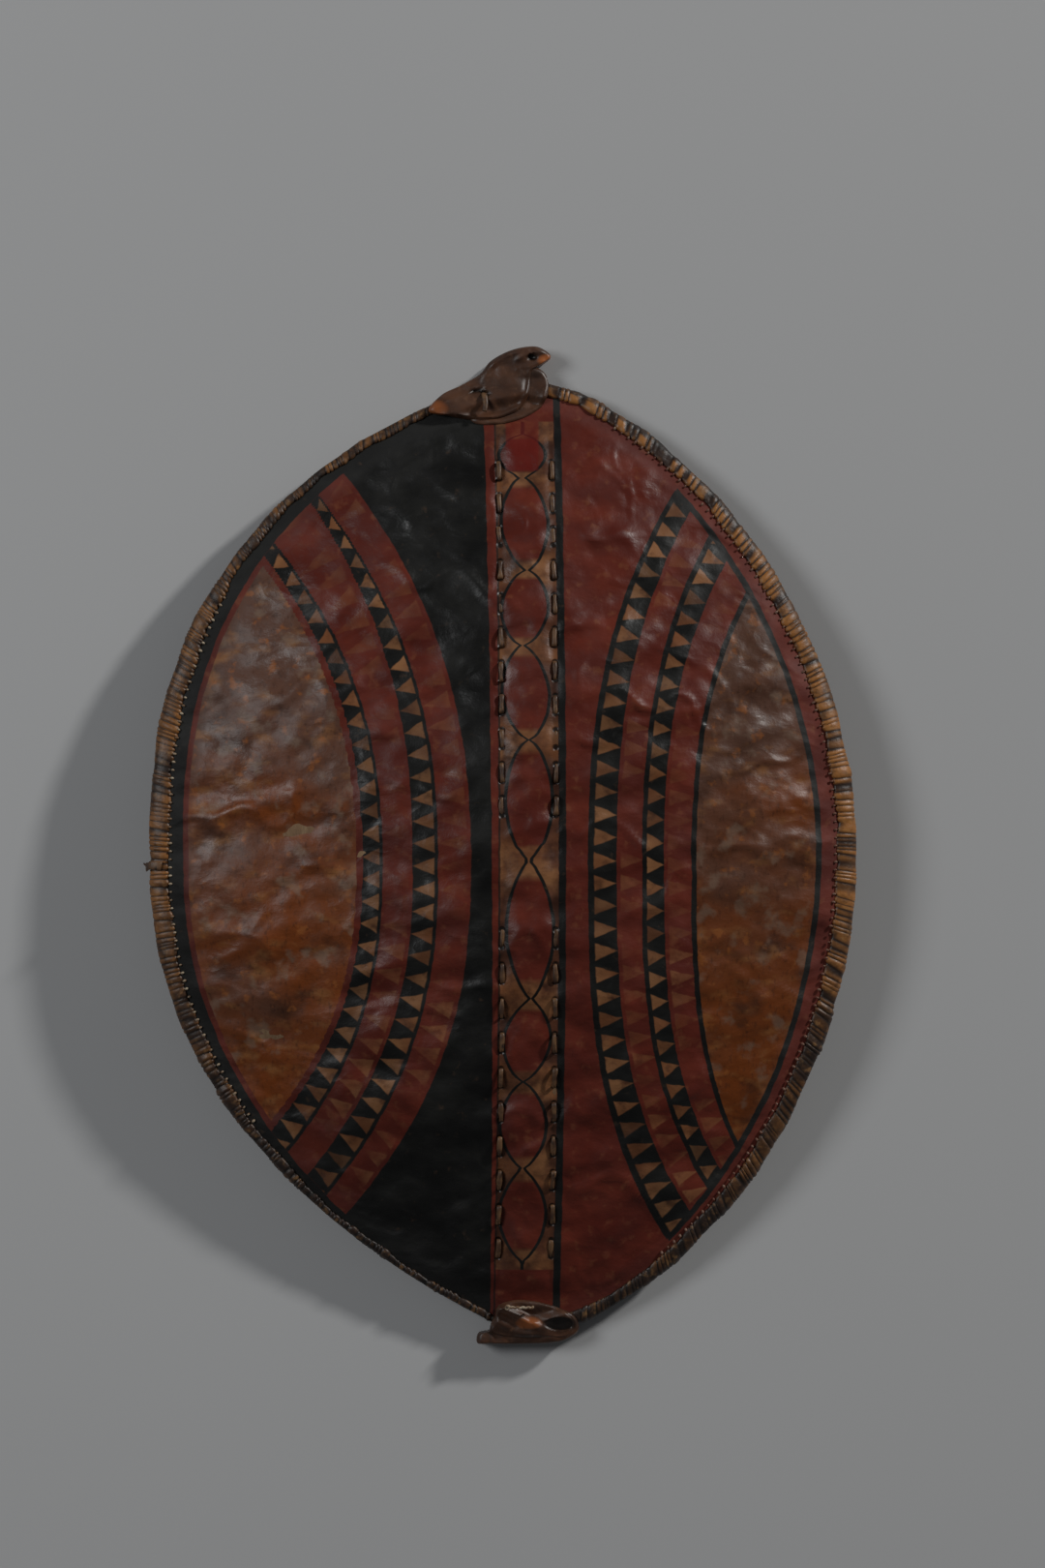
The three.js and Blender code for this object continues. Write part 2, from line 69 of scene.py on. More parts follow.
def sided(x, y, pick):
    """A value that differs between the four quarters of the hide."""
    upper = np.where(x < AXIS_X, pick(LEFT_POWERS["upper"]), pick(RIGHT_POWERS["upper"]))
    lower = np.where(x < AXIS_X, pick(LEFT_POWERS["lower"]), pick(RIGHT_POWERS["lower"]))
    return np.where(y < 0, lower, upper)


def rise_power(x, y):
    return sided(x, y, lambda powers: powers[0])


def spread_power(x, y):
    return sided(x, y, lambda powers: powers[1])


def reach_of(x):
    return np.where(x < AXIS_X, LEFT_REACH, RIGHT_REACH)


def length_of(y):
    return np.where(y < 0, LOWER_LENGTH, UPPER_LENGTH)


def outline(angle):
    """Plan points of the shield's edge at angles running anticlockwise from +X."""
    across, along = np.cos(angle), np.sin(angle)
    x, y = AXIS_X + across, along
    wide = reach_of(x) * np.abs(across) ** (2 / spread_power(x, y))
    high = length_of(y) * np.abs(along) ** (2 / rise_power(x, y))
    return AXIS_X + np.sign(across) * wide, np.sign(along) * high


def slant(angle, step=0.02):
    """How much farther the edge lies along its ray than square to itself."""
    x0, y0 = outline(angle - step)
    x1, y1 = outline(angle + step)
    x, y = outline(angle)
    along = np.hypot(x1 - x0, y1 - y0)
    ray = np.hypot(x - AXIS_X, y)
    cross = (x1 - x0) * y - (y1 - y0) * (x - AXIS_X)
    return along * ray / np.maximum(np.abs(cross), 1e-12)


def lean_of(angle):
    return (slant(angle - 0.04) + slant(angle + 0.04)) / 2


def inset_outline(angle, inset):
    """The edge moved inward by a distance square to it."""
    x, y = outline(angle)
    ray = np.hypot(x - AXIS_X, y)
    share = 1 - inset * lean_of(angle) / ray
    return AXIS_X + (x - AXIS_X) * share, y * share


def half_width(x, y):
    share = np.minimum(np.abs(y) / length_of(y), 1)
    return reach_of(x) * (1 - share ** rise_power(x, y)) ** (1 / spread_power(x, y))


def hide_height(x, y):
    """Height of the middle of the hide: domed across, swept down to the tips."""
    x, y = np.asarray(x, float), np.asarray(y, float)
    along = np.minimum(np.abs(y) / length_of(y), 1)
    swell = (1 - along * along) ** END_SWEEP
    across = np.minimum(np.abs(x - AXIS_X) / np.maximum(half_width(x, y), MM), 1)
    return TIP_HEIGHT + swell * (SIDE_RISE + CREST_RISE * (1 - across * across))


def midline(y):
    return AXIS_X - ROW_BOW * (y / UPPER_LENGTH) ** 2


def waves(x, y, length, seed, stretch=1.0, count=14):
    """Smooth random waves of one rough length, drawn out sideways by stretch."""
    rng = np.random.default_rng(seed)
    total = np.zeros_like(x)
    for _ in range(count):
        angle, phase = rng.uniform(0, 2 * np.pi, 2)
        pace = 2 * np.pi / (length * rng.uniform(0.7, 1.5))
        total += np.sin(pace * (x * np.cos(angle) / stretch + y * np.sin(angle)) + phase)
    return total / math.sqrt(count / 2)


def ease(value, low, high):
    share = np.clip((value - low) / (high - low), 0, 1)
    return share * share * (3 - 2 * share)


# ---- Meshes ----

def mesh_object(name, points, faces, material, smooth=True):
    mesh = bpy.data.meshes.new(name)
    mesh.from_pydata(np.asarray(points).tolist(), [], [list(f) for f in faces])
    mesh.validate()
    mesh.update()
    mesh.materials.append(material)
    mesh.shade_smooth() if smooth else mesh.shade_flat()
    made = bpy.data.objects.new(name, mesh)
    scene.collection.objects.link(made)
    return made


def set_attribute(piece, name, values):
    layer = piece.data.attributes.new(name, "FLOAT", "POINT")
    layer.data.foreach_set("value", np.asarray(values, dtype=np.float32))


def place(piece, slot, *nodes):
    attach(piece, "root")
    if nodes:
        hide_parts(*nodes)


def disc_grid(columns, rows):
    """A square grid bent to a disc: angle and reach of its points, row by row."""
    u, v = np.meshgrid(np.linspace(-1, 1, columns + 1), np.linspace(-1, 1, rows + 1))
    x, y = u * np.sqrt(1 - v * v / 2), v * np.sqrt(1 - u * u / 2)
    return np.arctan2(y, x).ravel(), np.hypot(x, y).ravel()


def grid_faces(columns, rows):
    at = np.arange((columns + 1) * (rows + 1)).reshape(rows + 1, columns + 1)
    cells = np.stack([at[:-1, :-1], at[:-1, 1:], at[1:, 1:], at[1:, :-1]], -1).reshape(-1, 4)
    border = np.concatenate([at[0, :-1], at[:-1, -1], at[-1, :0:-1], at[:0:-1, 0]])
    return cells, border


def slab_faces(columns, rows):
    """Faces of a closed slab whose lower grid follows its upper grid in the point list."""
    cells, border = grid_faces(columns, rows)
    count = (columns + 1) * (rows + 1)
    after = np.roll(border, -1)
    walls = np.stack([border + count, after + count, after, border], -1)
    return np.concatenate([cells, cells[:, ::-1] + count, walls]).tolist()


def loft_faces(rings, size, loop=False):
    """Quads over matching rings, and flat ends unless they close into a loop."""
    ring = np.arange(rings if loop else rings - 1)[:, None] * size
    after = (ring + size) % (rings * size)
    k = np.arange(size)[None, :]
    k1 = (k + 1) % size
    faces = np.stack([ring + k, ring + k1, after + k1, after + k], -1).reshape(-1, 4).tolist()
    if not loop:
        faces.append(list(range(size))[::-1])
        faces.append([(rings - 1) * size + i for i in range(size)])
    return faces


def loft_object(name, lofts, material, loop=False):
    """One mesh over one or more lofts, each an array of rings of points."""
    points, faces = [], []
    for rings in lofts:
        start = sum(len(part) for part in points)
        faces += [[k + start for k in face] for face in loft_faces(*rings.shape[:2], loop)]
        points.append(rings.reshape(-1, 3))
    return mesh_object(name, np.concatenate(points), faces, material)


# ---- Materials ----

def linear(code):
    """A linear RGBA colour from an sRGB hex code."""
    shares = [int(code[i:i + 2], 16) / 255 for i in (1, 3, 5)]
    return [s / 12.92 if s <= 0.04045 else ((s + 0.055) / 1.055) ** 2.4 for s in shares] + [1.0]


def feed(tree, socket, value):
    """Gives a socket its value: a link, a colour's hex code or a plain value."""
    if isinstance(value, bpy.types.NodeSocket):
        tree.links.new(value, socket)
    elif isinstance(value, str) and value.startswith("#"):
        socket.default_value = linear(value)
    else:
        socket.default_value = value


def add(tree, kind, *values, inputs=None, output=None, **settings):
    """A node with its settings. Plain values go to its live inputs in order, and inputs
    holds further ones by name. It is given back as its first live output, or the named one."""
    made = tree.nodes.new(kind)
    for name, value in settings.items():
        setattr(made, name, value)
    for socket, value in zip([socket for socket in made.inputs if socket.enabled], values):
        feed(tree, socket, value)
    for name, value in (inputs or {}).items():
        feed(tree, made.inputs[name], value)
    return made.outputs[output] if output else next(socket for socket in made.outputs if socket.enabled)


class Shade:
    """A material being built: its tree, and the patterns that several surfaces share."""

    def __init__(self, name):
        self.material = bpy.data.materials.new(name)
        self.material.use_nodes = True
        self.tree = self.material.node_tree
        self.surface = self.tree.nodes["Principled BSDF"]
        self.place = self.add("TexCoord", output="Object")

    def add(self, kind, *values, **settings):
        return add(self.tree, "ShaderNode" + kind, *values, **settings)

    def noise(self, size, detail=3.0, stretch=(1, 1, 1), shift=0.0):
        """Noise from 0 to 1 whose features are about size across, in metres."""
        scale = [1 / (size * s) for s in stretch]
        placed = self.add("Mapping", self.place, [shift] * 3, inputs={"Scale": scale})
        return self.add("TexNoise", placed, 1.0, detail)

    def grade(self, pattern, low, high, below, above, strength=1.0):
        """From one colour towards another as a pattern rises from low to high."""
        share = self.add("MapRange", pattern, low, high, 0.0, strength, interpolation_type="SMOOTHSTEP")
        return self.add("Mix", share, below, above, data_type="RGBA")

    def sheen(self, size, spread, base):
        """Roughness that wanders up from its base in patches about size across."""
        return self.add("Math", self.noise(size), spread, base, operation="MULTIPLY_ADD")

    def under(self, value, limit, soft):
        """1 where the value is below the limit, 0 above it, over a soft edge."""
        below = self.add("Math", limit, value, operation="SUBTRACT")
        return self.add("Math", below, 1 / soft, 0.5, operation="MULTIPLY_ADD", use_clamp=True)

    def over(self, value, limit, soft):
        """1 where the value is above the limit, 0 below it, over a soft edge."""
        turned = self.add("Math", value, -1.0, operation="MULTIPLY")
        return self.under(turned, -limit, soft)

    def gap(self, first, second):
        """How far apart two values are."""
        between = self.add("Math", first, second, operation="SUBTRACT")
        return self.add("Math", between, operation="ABSOLUTE")

    def all_of(self, *masks):
        """The product of masks and strengths."""
        total = masks[0]
        for mask in masks[1:]:
            total = self.add("Math", total, mask, operation="MULTIPLY")
        return total

    def finish(self, colour, roughness, *bumps, **fixed):
        """The surface's colour and shine, and its bumps: height, distance and strength of each."""
        values = {"Base Color": colour, "Roughness": roughness}
        for height, distance, strength in bumps:
            onto = {"Normal": values["Normal"]} if "Normal" in values else {}
            values["Normal"] = self.add(
                "Bump", inputs={"Height": height, "Distance": distance, "Strength": strength, **onto})
        values.update({name.replace("_", " "): value for name, value in fixed.items()})
        for name, value in values.items():
            feed(self.tree, self.surface.inputs[name], value)
        return self.material


# ---- Camera, floor and light ----

CAMERA_PLACE = (0.02, 0.0567, 5.2)
CAMERA_SENSOR = 36
VIEW_HEIGHT = 1.458
FLOOR_REACH = 6.0

def look_at(thing, target):
    thing.rotation_euler = (target - thing.location).to_track_quat("-Z", "Y").to_euler()


def make_camera():
    """Straight above and far off with a long lens, so that the shield shows its plan."""
    data = bpy.data.cameras.new("camera")
    data.sensor_fit = "VERTICAL"
    data.sensor_height = CAMERA_SENSOR
    data.lens = CAMERA_SENSOR * CAMERA_PLACE[2] / VIEW_HEIGHT
    camera = bpy.data.objects.new("camera", data)
    camera.location = CAMERA_PLACE
    scene.collection.objects.link(camera)
    scene.camera = camera


def make_floor():
    """Flat wall paint, pale grey and without shine."""
    s = Shade("matte_painted_floor")
    tone = s.add("Mix", s.noise(0.9, 2), "#b6b7b8", "#bcbdbe", data_type="RGBA")
    corners = [(-1, -1), (1, -1), (1, 1), (-1, 1)]
    points = [(FLOOR_REACH * x, FLOOR_REACH * y, 0) for x, y in corners]
    floor = mesh_object("floor", points, [(0, 1, 2, 3)], s.finish(tone, 0.9), smooth=False)


def area_light(name, place_at, size, power, tint):
    data = bpy.data.lights.new(name, "AREA")
    data.shape = "DISK"
    data.size = size
    data.energy = power
    data.color = tint
    light = bpy.data.objects.new(name, data)
    light.location = place_at
    scene.collection.objects.link(light)
    look_at(light, Vector((0, 0, 0.05)))


def make_lights():
    area_light("key", (6.2, 5.0, 3.1), 0.75, 440, (1.0, 0.985, 0.96))
    area_light("fill", (-3.6, 1.3, 3.7), 2.0, 80, (0.98, 0.99, 1.0))
    world = bpy.data.worlds.new("studio")
    scene.world = world
    world.use_nodes = True
    backdrop = world.node_tree.nodes["Background"].inputs
    backdrop["Color"].default_value = (0.9, 0.92, 0.95, 1)
    backdrop["Strength"].default_value = 0.07
    scene.view_settings.view_transform = "Standard"


# ---- The painted hide ----

# Creases pressed into the hide: from, to, height and half width, in millimetres
CREASES = [
    ((-290, 20), (-150, 52), 1.5, 7), ((-150, 52), (-20, 62), 0.9, 6), ((40, 90), (170, 128), 1.2, 5),
    ((-250, 130), (-90, 160), 1.2, 9), ((-120, 255), (20, 232), 1.1, 8), ((60, 300), (130, 262), 1.4, 9),
    ((-60, 330), (5, 300), 1.2, 8), ((75, 145), (210, 118), 1.2, 5), ((180, 10), (300, 0), 1.5, 7),
    ((190, -98), (290, -150), 1.2, 7), ((-40, -70), (60, -100), 1.0, 5), ((-190, 0), (-110, -40), 1.4, 5),
    ((-20, -250), (80, -232), 0.9, 7), ((60, -300), (150, -330), 1.1, 8), ((-90, -120), (10, -140), 0.9, 6),
    ((-280, -60), (-180, -110), 1.0, 8), ((200, 70), (280, 95), 1.3, 7), ((60, 20), (180, -8), 1.0, 5),
    ((95, -60), (190, -30), 0.9, 5), ((-160, 330), (-60, 300), 0.8, 8), ((40, 200), (120, 214), 1.0, 7),
]

# The painted lines beside the rows of lacing and across the two halves: for each its
# place at the waist, then its upper and lower ends, in millimetres
LEFT_LINES = [
    (-27, (-146, 345), (-146, -344)), (-57, (-147, 292), (-160, -322)), (-80, (-169, 310), (-182, -308)),
    (-108, (-203, 270), (-199, -286)), (-127, (-207, 250), (-214, -264)), (-131, (-211, 248), (-218, -262)),
]
RIGHT_LINES = [
    (82, (160, 323), (149, -352)), (106, (170, 300), (173, -335)), (131, (192, 281), (192, -315)),
    (149, (206, 259), (199, -293)), (177, (226, 227), (216, -272)),
]
LINE_POWERS = {"left": (2.4, 2.4), "right": (2.6, 3.0)}
WAIST_Y = -20
TRIANGLE_PITCH = 21

# Where the two diamond lines cross: height, and how far off the midline, in millimetres
CROSSINGS = [
    (380, -2), (340, -3), (253, 0), (183, -5), (97, 0),
    (-13, 0), (-140, 2), (-216, -4), (-297, -3), (-384, -2),
]
LOBE_HALF_WIDTH = 21.5

# The spots that cloud the bare hide: size, detail, stretch, shift, where they begin and are
# full, strength and colour
BARE_SPOTS = [
    (0.028, 6, (1.5, 1, 1), 15, 0.5, 0.72, 0.75, "#3b2114"),
    (0.016, 6, (1.8, 1, 1), 18, 0.52, 0.78, 0.6, "#a06d3e"),
    (0.0045, 3, (0.8, 1.6, 1), 4, 0.52, 0.75, 0.45, "#33190d"),
    (0.012, 5, (1, 1, 1), 61, 0.58, 0.72, 0.7, "#9a5a28"),
    (0.022, 5, (1, 1, 1), 64, 0.56, 0.7, 0.5, "#85705f"),
]

# What the hide's mesh tells its paint at every point: distances in millimetres, and places
# counted in painted lines and in teeth
HIDE_MEASURES = (
    "height", "from_mid", "from_crossing", "lobe", "from_dash", "left_edge", "right_edge",
    "left_count", "right_count", "first_along", "second_along",
)
HIDE_GRID = (184, 248)
HIDE_INSET = 0.004


def painted_line(line, powers, y):
    """Where a painted line lies across the hide at each height, all in millimetres."""
    waist, upper, lower = line
    up = np.maximum(y - WAIST_Y, 0) / (upper[1] - WAIST_Y)
    down = np.maximum(WAIST_Y - y, 0) / (WAIST_Y - lower[1])
    return waist + (upper[0] - waist) * up ** powers[0] + (lower[0] - waist) * down ** powers[1]


def band_places(x, y, lines, powers):
    """Place across a group of lines, counted in lines outward, and along its two bands."""
    edges = np.stack([painted_line(line, powers, y) for line in lines])
    outward = np.sign(edges[1] - edges[0])
    count = np.full_like(x, 0.0)
    first = (x - edges[0]) * outward / np.abs(edges[1] - edges[0])
    count += np.minimum(first, 1)
    for k in range(1, len(lines) - 1):
        span = np.maximum(np.abs(edges[k + 1] - edges[k]), 2)
        count += np.clip((x - edges[k]) * outward / span, 0, 1)
    count += np.maximum((x - edges[-1]) * outward / 20, 0)
    return count


def along_line(x, y, line, powers):
    """Length along a painted line to the point of it that each place lies square to."""
    heights = np.linspace(-460, 460, 921)
    across = painted_line(line, powers, heights)
    slope = np.gradient(across, heights)
    length = np.concatenate([[0], np.cumsum(np.hypot(1, (slope[1:] + slope[:-1]) / 2))])
    here = np.interp(y, heights, slope)
    foot = y + (x - painted_line(line, powers, y)) * here / (1 + here * here)
    return np.interp(foot, heights, length)


def dash_distance(y):
    """Distance along a row from the middle of the nearest stitch, in millimetres."""
    nearest = np.full_like(y, 99.0)
    for seam in (UPPER_SEAM, LOWER_SEAM):
        for k in range(seam["dashes"]):
            middle = (seam["first"] - k * seam["pitch"] - DASH / 2) / MM
            nearest = np.minimum(nearest, np.abs(y - middle))
    return nearest


def hide_relief(x, y, inset):
    """How far the dried hide stands off its smooth dome, in metres."""
    relief = 1.4 * waves(x, y, 0.13, 3, 1.6) + 0.8 * waves(x, y, 0.05, 5, 1.5)
    relief += 0.36 * waves(x, y, 0.022, 8, 1.3) + 0.12 * waves(x, y, 0.011, 11, 1.1, 24)
    for length, seed, height in ((0.09, 91, 1.0), (0.05, 94, 0.7)):
        near = np.abs(waves(x, y, length, seed, 1.4))
        relief += 1.2 * height * np.exp(-(near / 0.18) ** 2) * ease(waves(x, y, 0.12, seed + 1), -0.2, 0.6)
    px, py = x / MM, y / MM
    bent = px + 7 * waves(x, y, 0.07, 21), py + 7 * waves(x, y, 0.07, 22)
    for (x0, y0), (x1, y1), height, half in CREASES:
        run = math.hypot(x1 - x0, y1 - y0)
        along = ((bent[0] - x0) * (x1 - x0) + (bent[1] - y0) * (y1 - y0)) / run
        off = ((bent[1] - y0) * (x1 - x0) - (bent[0] - x0) * (y1 - y0)) / run
        ends = ease(along, -10, 0.3 * run) * (1 - ease(along, 0.7 * run, run + 10))
        relief += 2.2 * height * ends * np.exp(-np.abs(off / (0.8 * half)) ** 1.5)
    middle = px - midline(y) / MM
    stick = 1.3 * (1 - ease(np.abs(middle), 8, 22))
    pulled = 1.6 * np.exp(-((np.abs(middle) - ROW_GAUGE / MM) / 4.5) ** 2) * (dash_distance(py) < 99)
    relief += stick - pulled
    relief *= (1 - ease(py, 370, 388)) * (1 - ease(-py, 398, 416))
    puckers = 0.5 * np.sin(py * 0.55 + 4 * waves(x, y, 0.05, 31)) * np.exp(-(inset / MM - 20) / 12)
    return MM * (relief + puckers) * ease(inset, 0.014, 0.032)


def paint_material():
    """Earth and soot colours rubbed on raw hide: satin red and black, with the hide bare in
    two fields, where it shows mottled orange, brown and grey."""
    s = Shade("earth_paint_on_rawhide")
    read = {name: s.add("Attribute", attribute_name=name, output="Fac") for name in HIDE_MEASURES}
    y = read["height"]
    coarse, fine = s.noise(0.018), s.noise(0.004, 4)
    wander = s.add("Math", coarse, 2.6, -1.3, operation="MULTIPLY_ADD")
    settled = s.add("Math", wander, 0.45, operation="SUBTRACT")
    ragged = s.add("Math", fine, 0.9, settled, operation="MULTIPLY_ADD")
    inch = s.add("Math", ragged, 1 / 24, operation="MULTIPLY")
    from_mid, left_edge, right_edge = (
        s.add("Math", read[name], ragged, operation="ADD")
        for name in ("from_mid", "left_edge", "right_edge"))
    left, right = (s.add("Math", read[name], inch, operation="ADD") for name in ("left_count", "right_count"))

    # Colours
    worn = s.noise(0.03, 5, (1.6, 1, 1), shift=3)
    red = s.grade(worn, 0.35, 0.75, "#541d13", "#6b2b1d")
    red = s.grade(s.noise(0.011, 5, shift=5), 0.56, 0.75, red, "#7d4a30", 0.45)
    soot = s.grade(worn, 0.3, 0.8, "#0c0c0b", "#1f1f1d")
    soot = s.grade(s.noise(0.009, 5, shift=8), 0.62, 0.8, soot, "#5a4433", 0.35)
    tan = s.grade(s.noise(0.05, shift=7), 0.35, 0.65, "#7a4a2b", "#9c6c46")
    tan = s.grade(s.noise(0.012, 4, shift=2), 0.5, 0.75, tan, "#5f3a24")

    # Bare hide: orange low down, greyer and paler high up, the grey partly the hide's tone and partly a
    # painted sheen
    drift = s.add("Math", s.noise(0.09, 4, (1.4, 1, 1), 12), 2.2, -0.62, operation="MULTIPLY_ADD")
    climb = s.add("Math", y, 0.0022, drift, operation="MULTIPLY_ADD")
    bare = s.grade(climb, 0.1, 0.95, "#7a3c12", "#5f4032")
    for size, detail, stretch, shift, low, high, strength, code in BARE_SPOTS:
        bare = s.grade(s.noise(size, detail, stretch, shift), low, high, bare, code, strength)

    # Fields each side of the laced strip
    black_edge = s.add("Math", y, -0.008, -34.0, operation="MULTIPLY_ADD")
    colour = s.add("Mix", s.under(from_mid, black_edge, 0.5), red, soot, data_type="RGBA")

    # The laced strip: hide-coloured, with red lobes between two crossing black lines
    strip = s.all_of(
        s.over(from_mid, -27.5, 0.5), s.under(from_mid, 27.0, 0.5),
        s.under(y, 392.0, 1.0), s.over(y, -392.0, 1.0))
    lobe = s.add("Math", ragged, 0.8, read["from_crossing"], operation="MULTIPLY_ADD")
    lobe = s.add("Math", lobe, operation="ABSOLUTE")
    reach = read["lobe"]
    ground = s.grade(s.noise(0.02, 4, shift=21), 0.4, 0.65, "#573322", "#3a2015")
    near_cross = s.all_of(s.under(reach, 15.0, 5.0), 0.7)
    ground = s.grade(s.noise(0.02, 4, shift=25), 0.3, 0.6, ground, tan, near_cross)
    ground = s.add(
        "Mix", s.all_of(s.under(lobe, reach, 0.6), s.over(reach, 11.0, 3.0)), ground, red,
        data_type="RGBA")
    ground = s.add("Mix", s.under(s.gap(lobe, reach), 1.6, 0.8), ground, soot, data_type="RGBA")
    first_cell = s.all_of(s.over(y, 346.0, 2.0), s.under(lobe, 15.0, 2.0), 0.6)
    ground = s.add("Mix", first_cell, ground, "#6a130d", data_type="RGBA")
    colour = s.add("Mix", strip, colour, ground, data_type="RGBA")
    colour = s.add("Mix", s.under(s.gap(from_mid, 30.4), 3.4, 0.9), colour, soot, data_type="RGBA")
    colour = s.add(
        "Mix", s.all_of(s.under(s.gap(from_mid, -27.0), 0.9, 0.8), 0.8), colour, soot,
        data_type="RGBA")

    def triangles(along, across):
        """Teeth with their base at the inner side of a band and their point outward."""
        bent = s.add("Math", coarse, 0.22, along, operation="MULTIPLY_ADD")
        place_in = s.add("Math", bent, operation="FRACT")
        half = s.add("Math", across, -0.44, 0.43, operation="MULTIPLY_ADD")
        return s.all_of(s.under(s.gap(place_in, 0.5), half, 0.06), s.over(across, 0.14, 0.05))

    def tooth_strength(along):
        """Each tooth is rubbed away by its own amount."""
        own = s.add("Math", s.add("Math", coarse, 0.22, along, operation="MULTIPLY_ADD"), operation="FLOOR")
        chance = s.add("Math", s.add("Math", own, 12.9898, operation="MULTIPLY"), operation="SINE")
        chance = s.add("Math", s.add("Math", chance, 437.585, operation="MULTIPLY"), operation="FRACT")
        return s.add("Math", chance, 0.55, 0.35, operation="MULTIPLY_ADD")

    def bands(colour, count, first, within):
        """Red ground, two black bands of tan teeth, and faint teeth on the red beside them."""
        colour = s.add("Mix", s.all_of(within, s.over(count, 0.0, 0.03)), colour, red, data_type="RGBA")
        rows = [(first, "first_along", True), (first + 2, "second_along", True)]
        red_start = first - 1 if first else 1
        rows += [(red_start, "first_along", False), (red_start + 2, "second_along", False)]
        for start, name, on_black in rows:
            across = s.add("Math", count, float(start), operation="SUBTRACT")
            inside = s.all_of(within, s.under(across, 1.0, 0.03), s.over(across, 0.0, 0.03))
            teeth = triangles(read[name], across)
            if on_black:
                band = s.add("Mix", s.all_of(teeth, tooth_strength(read[name])), soot, tan, data_type="RGBA")
                colour = s.add("Mix", inside, colour, band, data_type="RGBA")
            else:
                shown = s.add("Math", s.under(y, -100.0, 200.0), 0.3, 0.25, operation="MULTIPLY_ADD")
                faint = s.all_of(inside, teeth, shown)
                colour = s.grade(s.noise(0.06, 4, shift=35), 0.4, 0.62, colour, tan, faint)
        return colour

    colour = bands(colour, left, 1, s.over(left_edge, 0.0, 0.6))
    colour = s.add(
        "Mix", s.all_of(s.over(left, 5.0, 0.03), s.over(left_edge, 5.0, 0.6)), colour, bare,
        data_type="RGBA")

    in_right = s.over(right_edge, 0.0, 0.6)
    colour = bands(colour, right, 0, in_right)
    colour = s.add(
        "Mix", s.all_of(in_right, s.over(right, 4.0, 0.03)), colour,
        s.add("Mix", 0.3, bare, "#2c1608", data_type="RGBA"), data_type="RGBA")
    for line, half in ((0.0, 0.09), (2.0, 0.08), (4.0, 0.1)):
        colour = s.add(
            "Mix", s.all_of(in_right, s.under(s.gap(right, line), half, 0.03)), colour, soot,
            data_type="RGBA")
    outer_line = s.under(s.gap(right_edge, 0.0), 2.7, 0.8)
    colour = s.add("Mix", s.all_of(s.over(right, -0.05, 0.05), outer_line), colour, soot, data_type="RGBA")

    # Lacing holes, painted near black as painted shade, and round each stitch a dark halo that is partly dirt
    # and partly painted shadow
    row = s.gap(read["from_mid"], 0.0)
    row = s.add("Math", row, ROW_GAUGE / MM, operation="SUBTRACT")
    end = s.add("Math", read["from_dash"], DASH / 2 / MM, operation="SUBTRACT")
    away = s.add("Math", row, row, s.all_of(end, end), operation="MULTIPLY_ADD")
    hole = s.under(s.add("Math", away, operation="SQRT"), 2.6, 1.4)
    colour = s.add("Mix", s.all_of(hole, 0.92), colour, "#0d0906", data_type="RGBA")
    dirt_and_shadow_halo = s.all_of(s.under(s.gap(row, 0.0), 3.4, 2.2), s.under(read["from_dash"], 10.5, 2.5), 0.4)
    colour = s.add("Mix", dirt_and_shadow_halo, colour, "#140c08", data_type="RGBA")

    # Surface: rubbed satin, with fine crumpling and grain
    fold = s.under(s.gap(s.noise(0.036, 2, (1.4, 1, 1), 71), 0.5), 0.0, 0.16)
    fine_fold = s.under(s.gap(s.noise(0.009, 3, (1.2, 1, 1), 74), 0.5), 0.0, 0.2)
    folds = s.add("Math", fine_fold, 0.2, fold, operation="MULTIPLY_ADD")
    height = s.add("Math", folds, 0.9, s.noise(0.007, 4, (1.3, 1, 1), 41), operation="MULTIPLY_ADD")
    height = s.add("Math", s.noise(0.0016, 3, shift=44), 0.12, height, operation="MULTIPLY_ADD")
    height = s.add("Math", hole, -2.0, height, operation="MULTIPLY_ADD")
    rubbed = s.noise(0.045, 4, shift=50)
    gloss = s.add("MapRange", rubbed, 0.3, 0.7, 0.33, 0.49, interpolation_type="SMOOTHSTEP")
    gloss = s.add("Math", s.under(right_edge, 3.0, 14.0), 0.3, gloss, operation="MULTIPLY_ADD")
    return s.finish(colour, gloss, (height, 0.0009, 0.5), Specular_IOR_Level=0.38)


def back_material():
    """The flesh side of the hide: dry, fibrous, pale brown and grey."""
    s = Shade("rawhide_flesh_side")
    colour = s.grade(s.noise(0.06, 5), 0.35, 0.65, "#8a6d4e", "#6e5239")
    colour = s.grade(s.noise(0.012, 5, (0.5, 2, 1), 4), 0.5, 0.75, colour, "#a58b6a", 0.5)
    return s.finish(colour, 0.75, (s.noise(0.004, 5, (0.6, 1.6, 1), 9), 0.0008, 0.7))


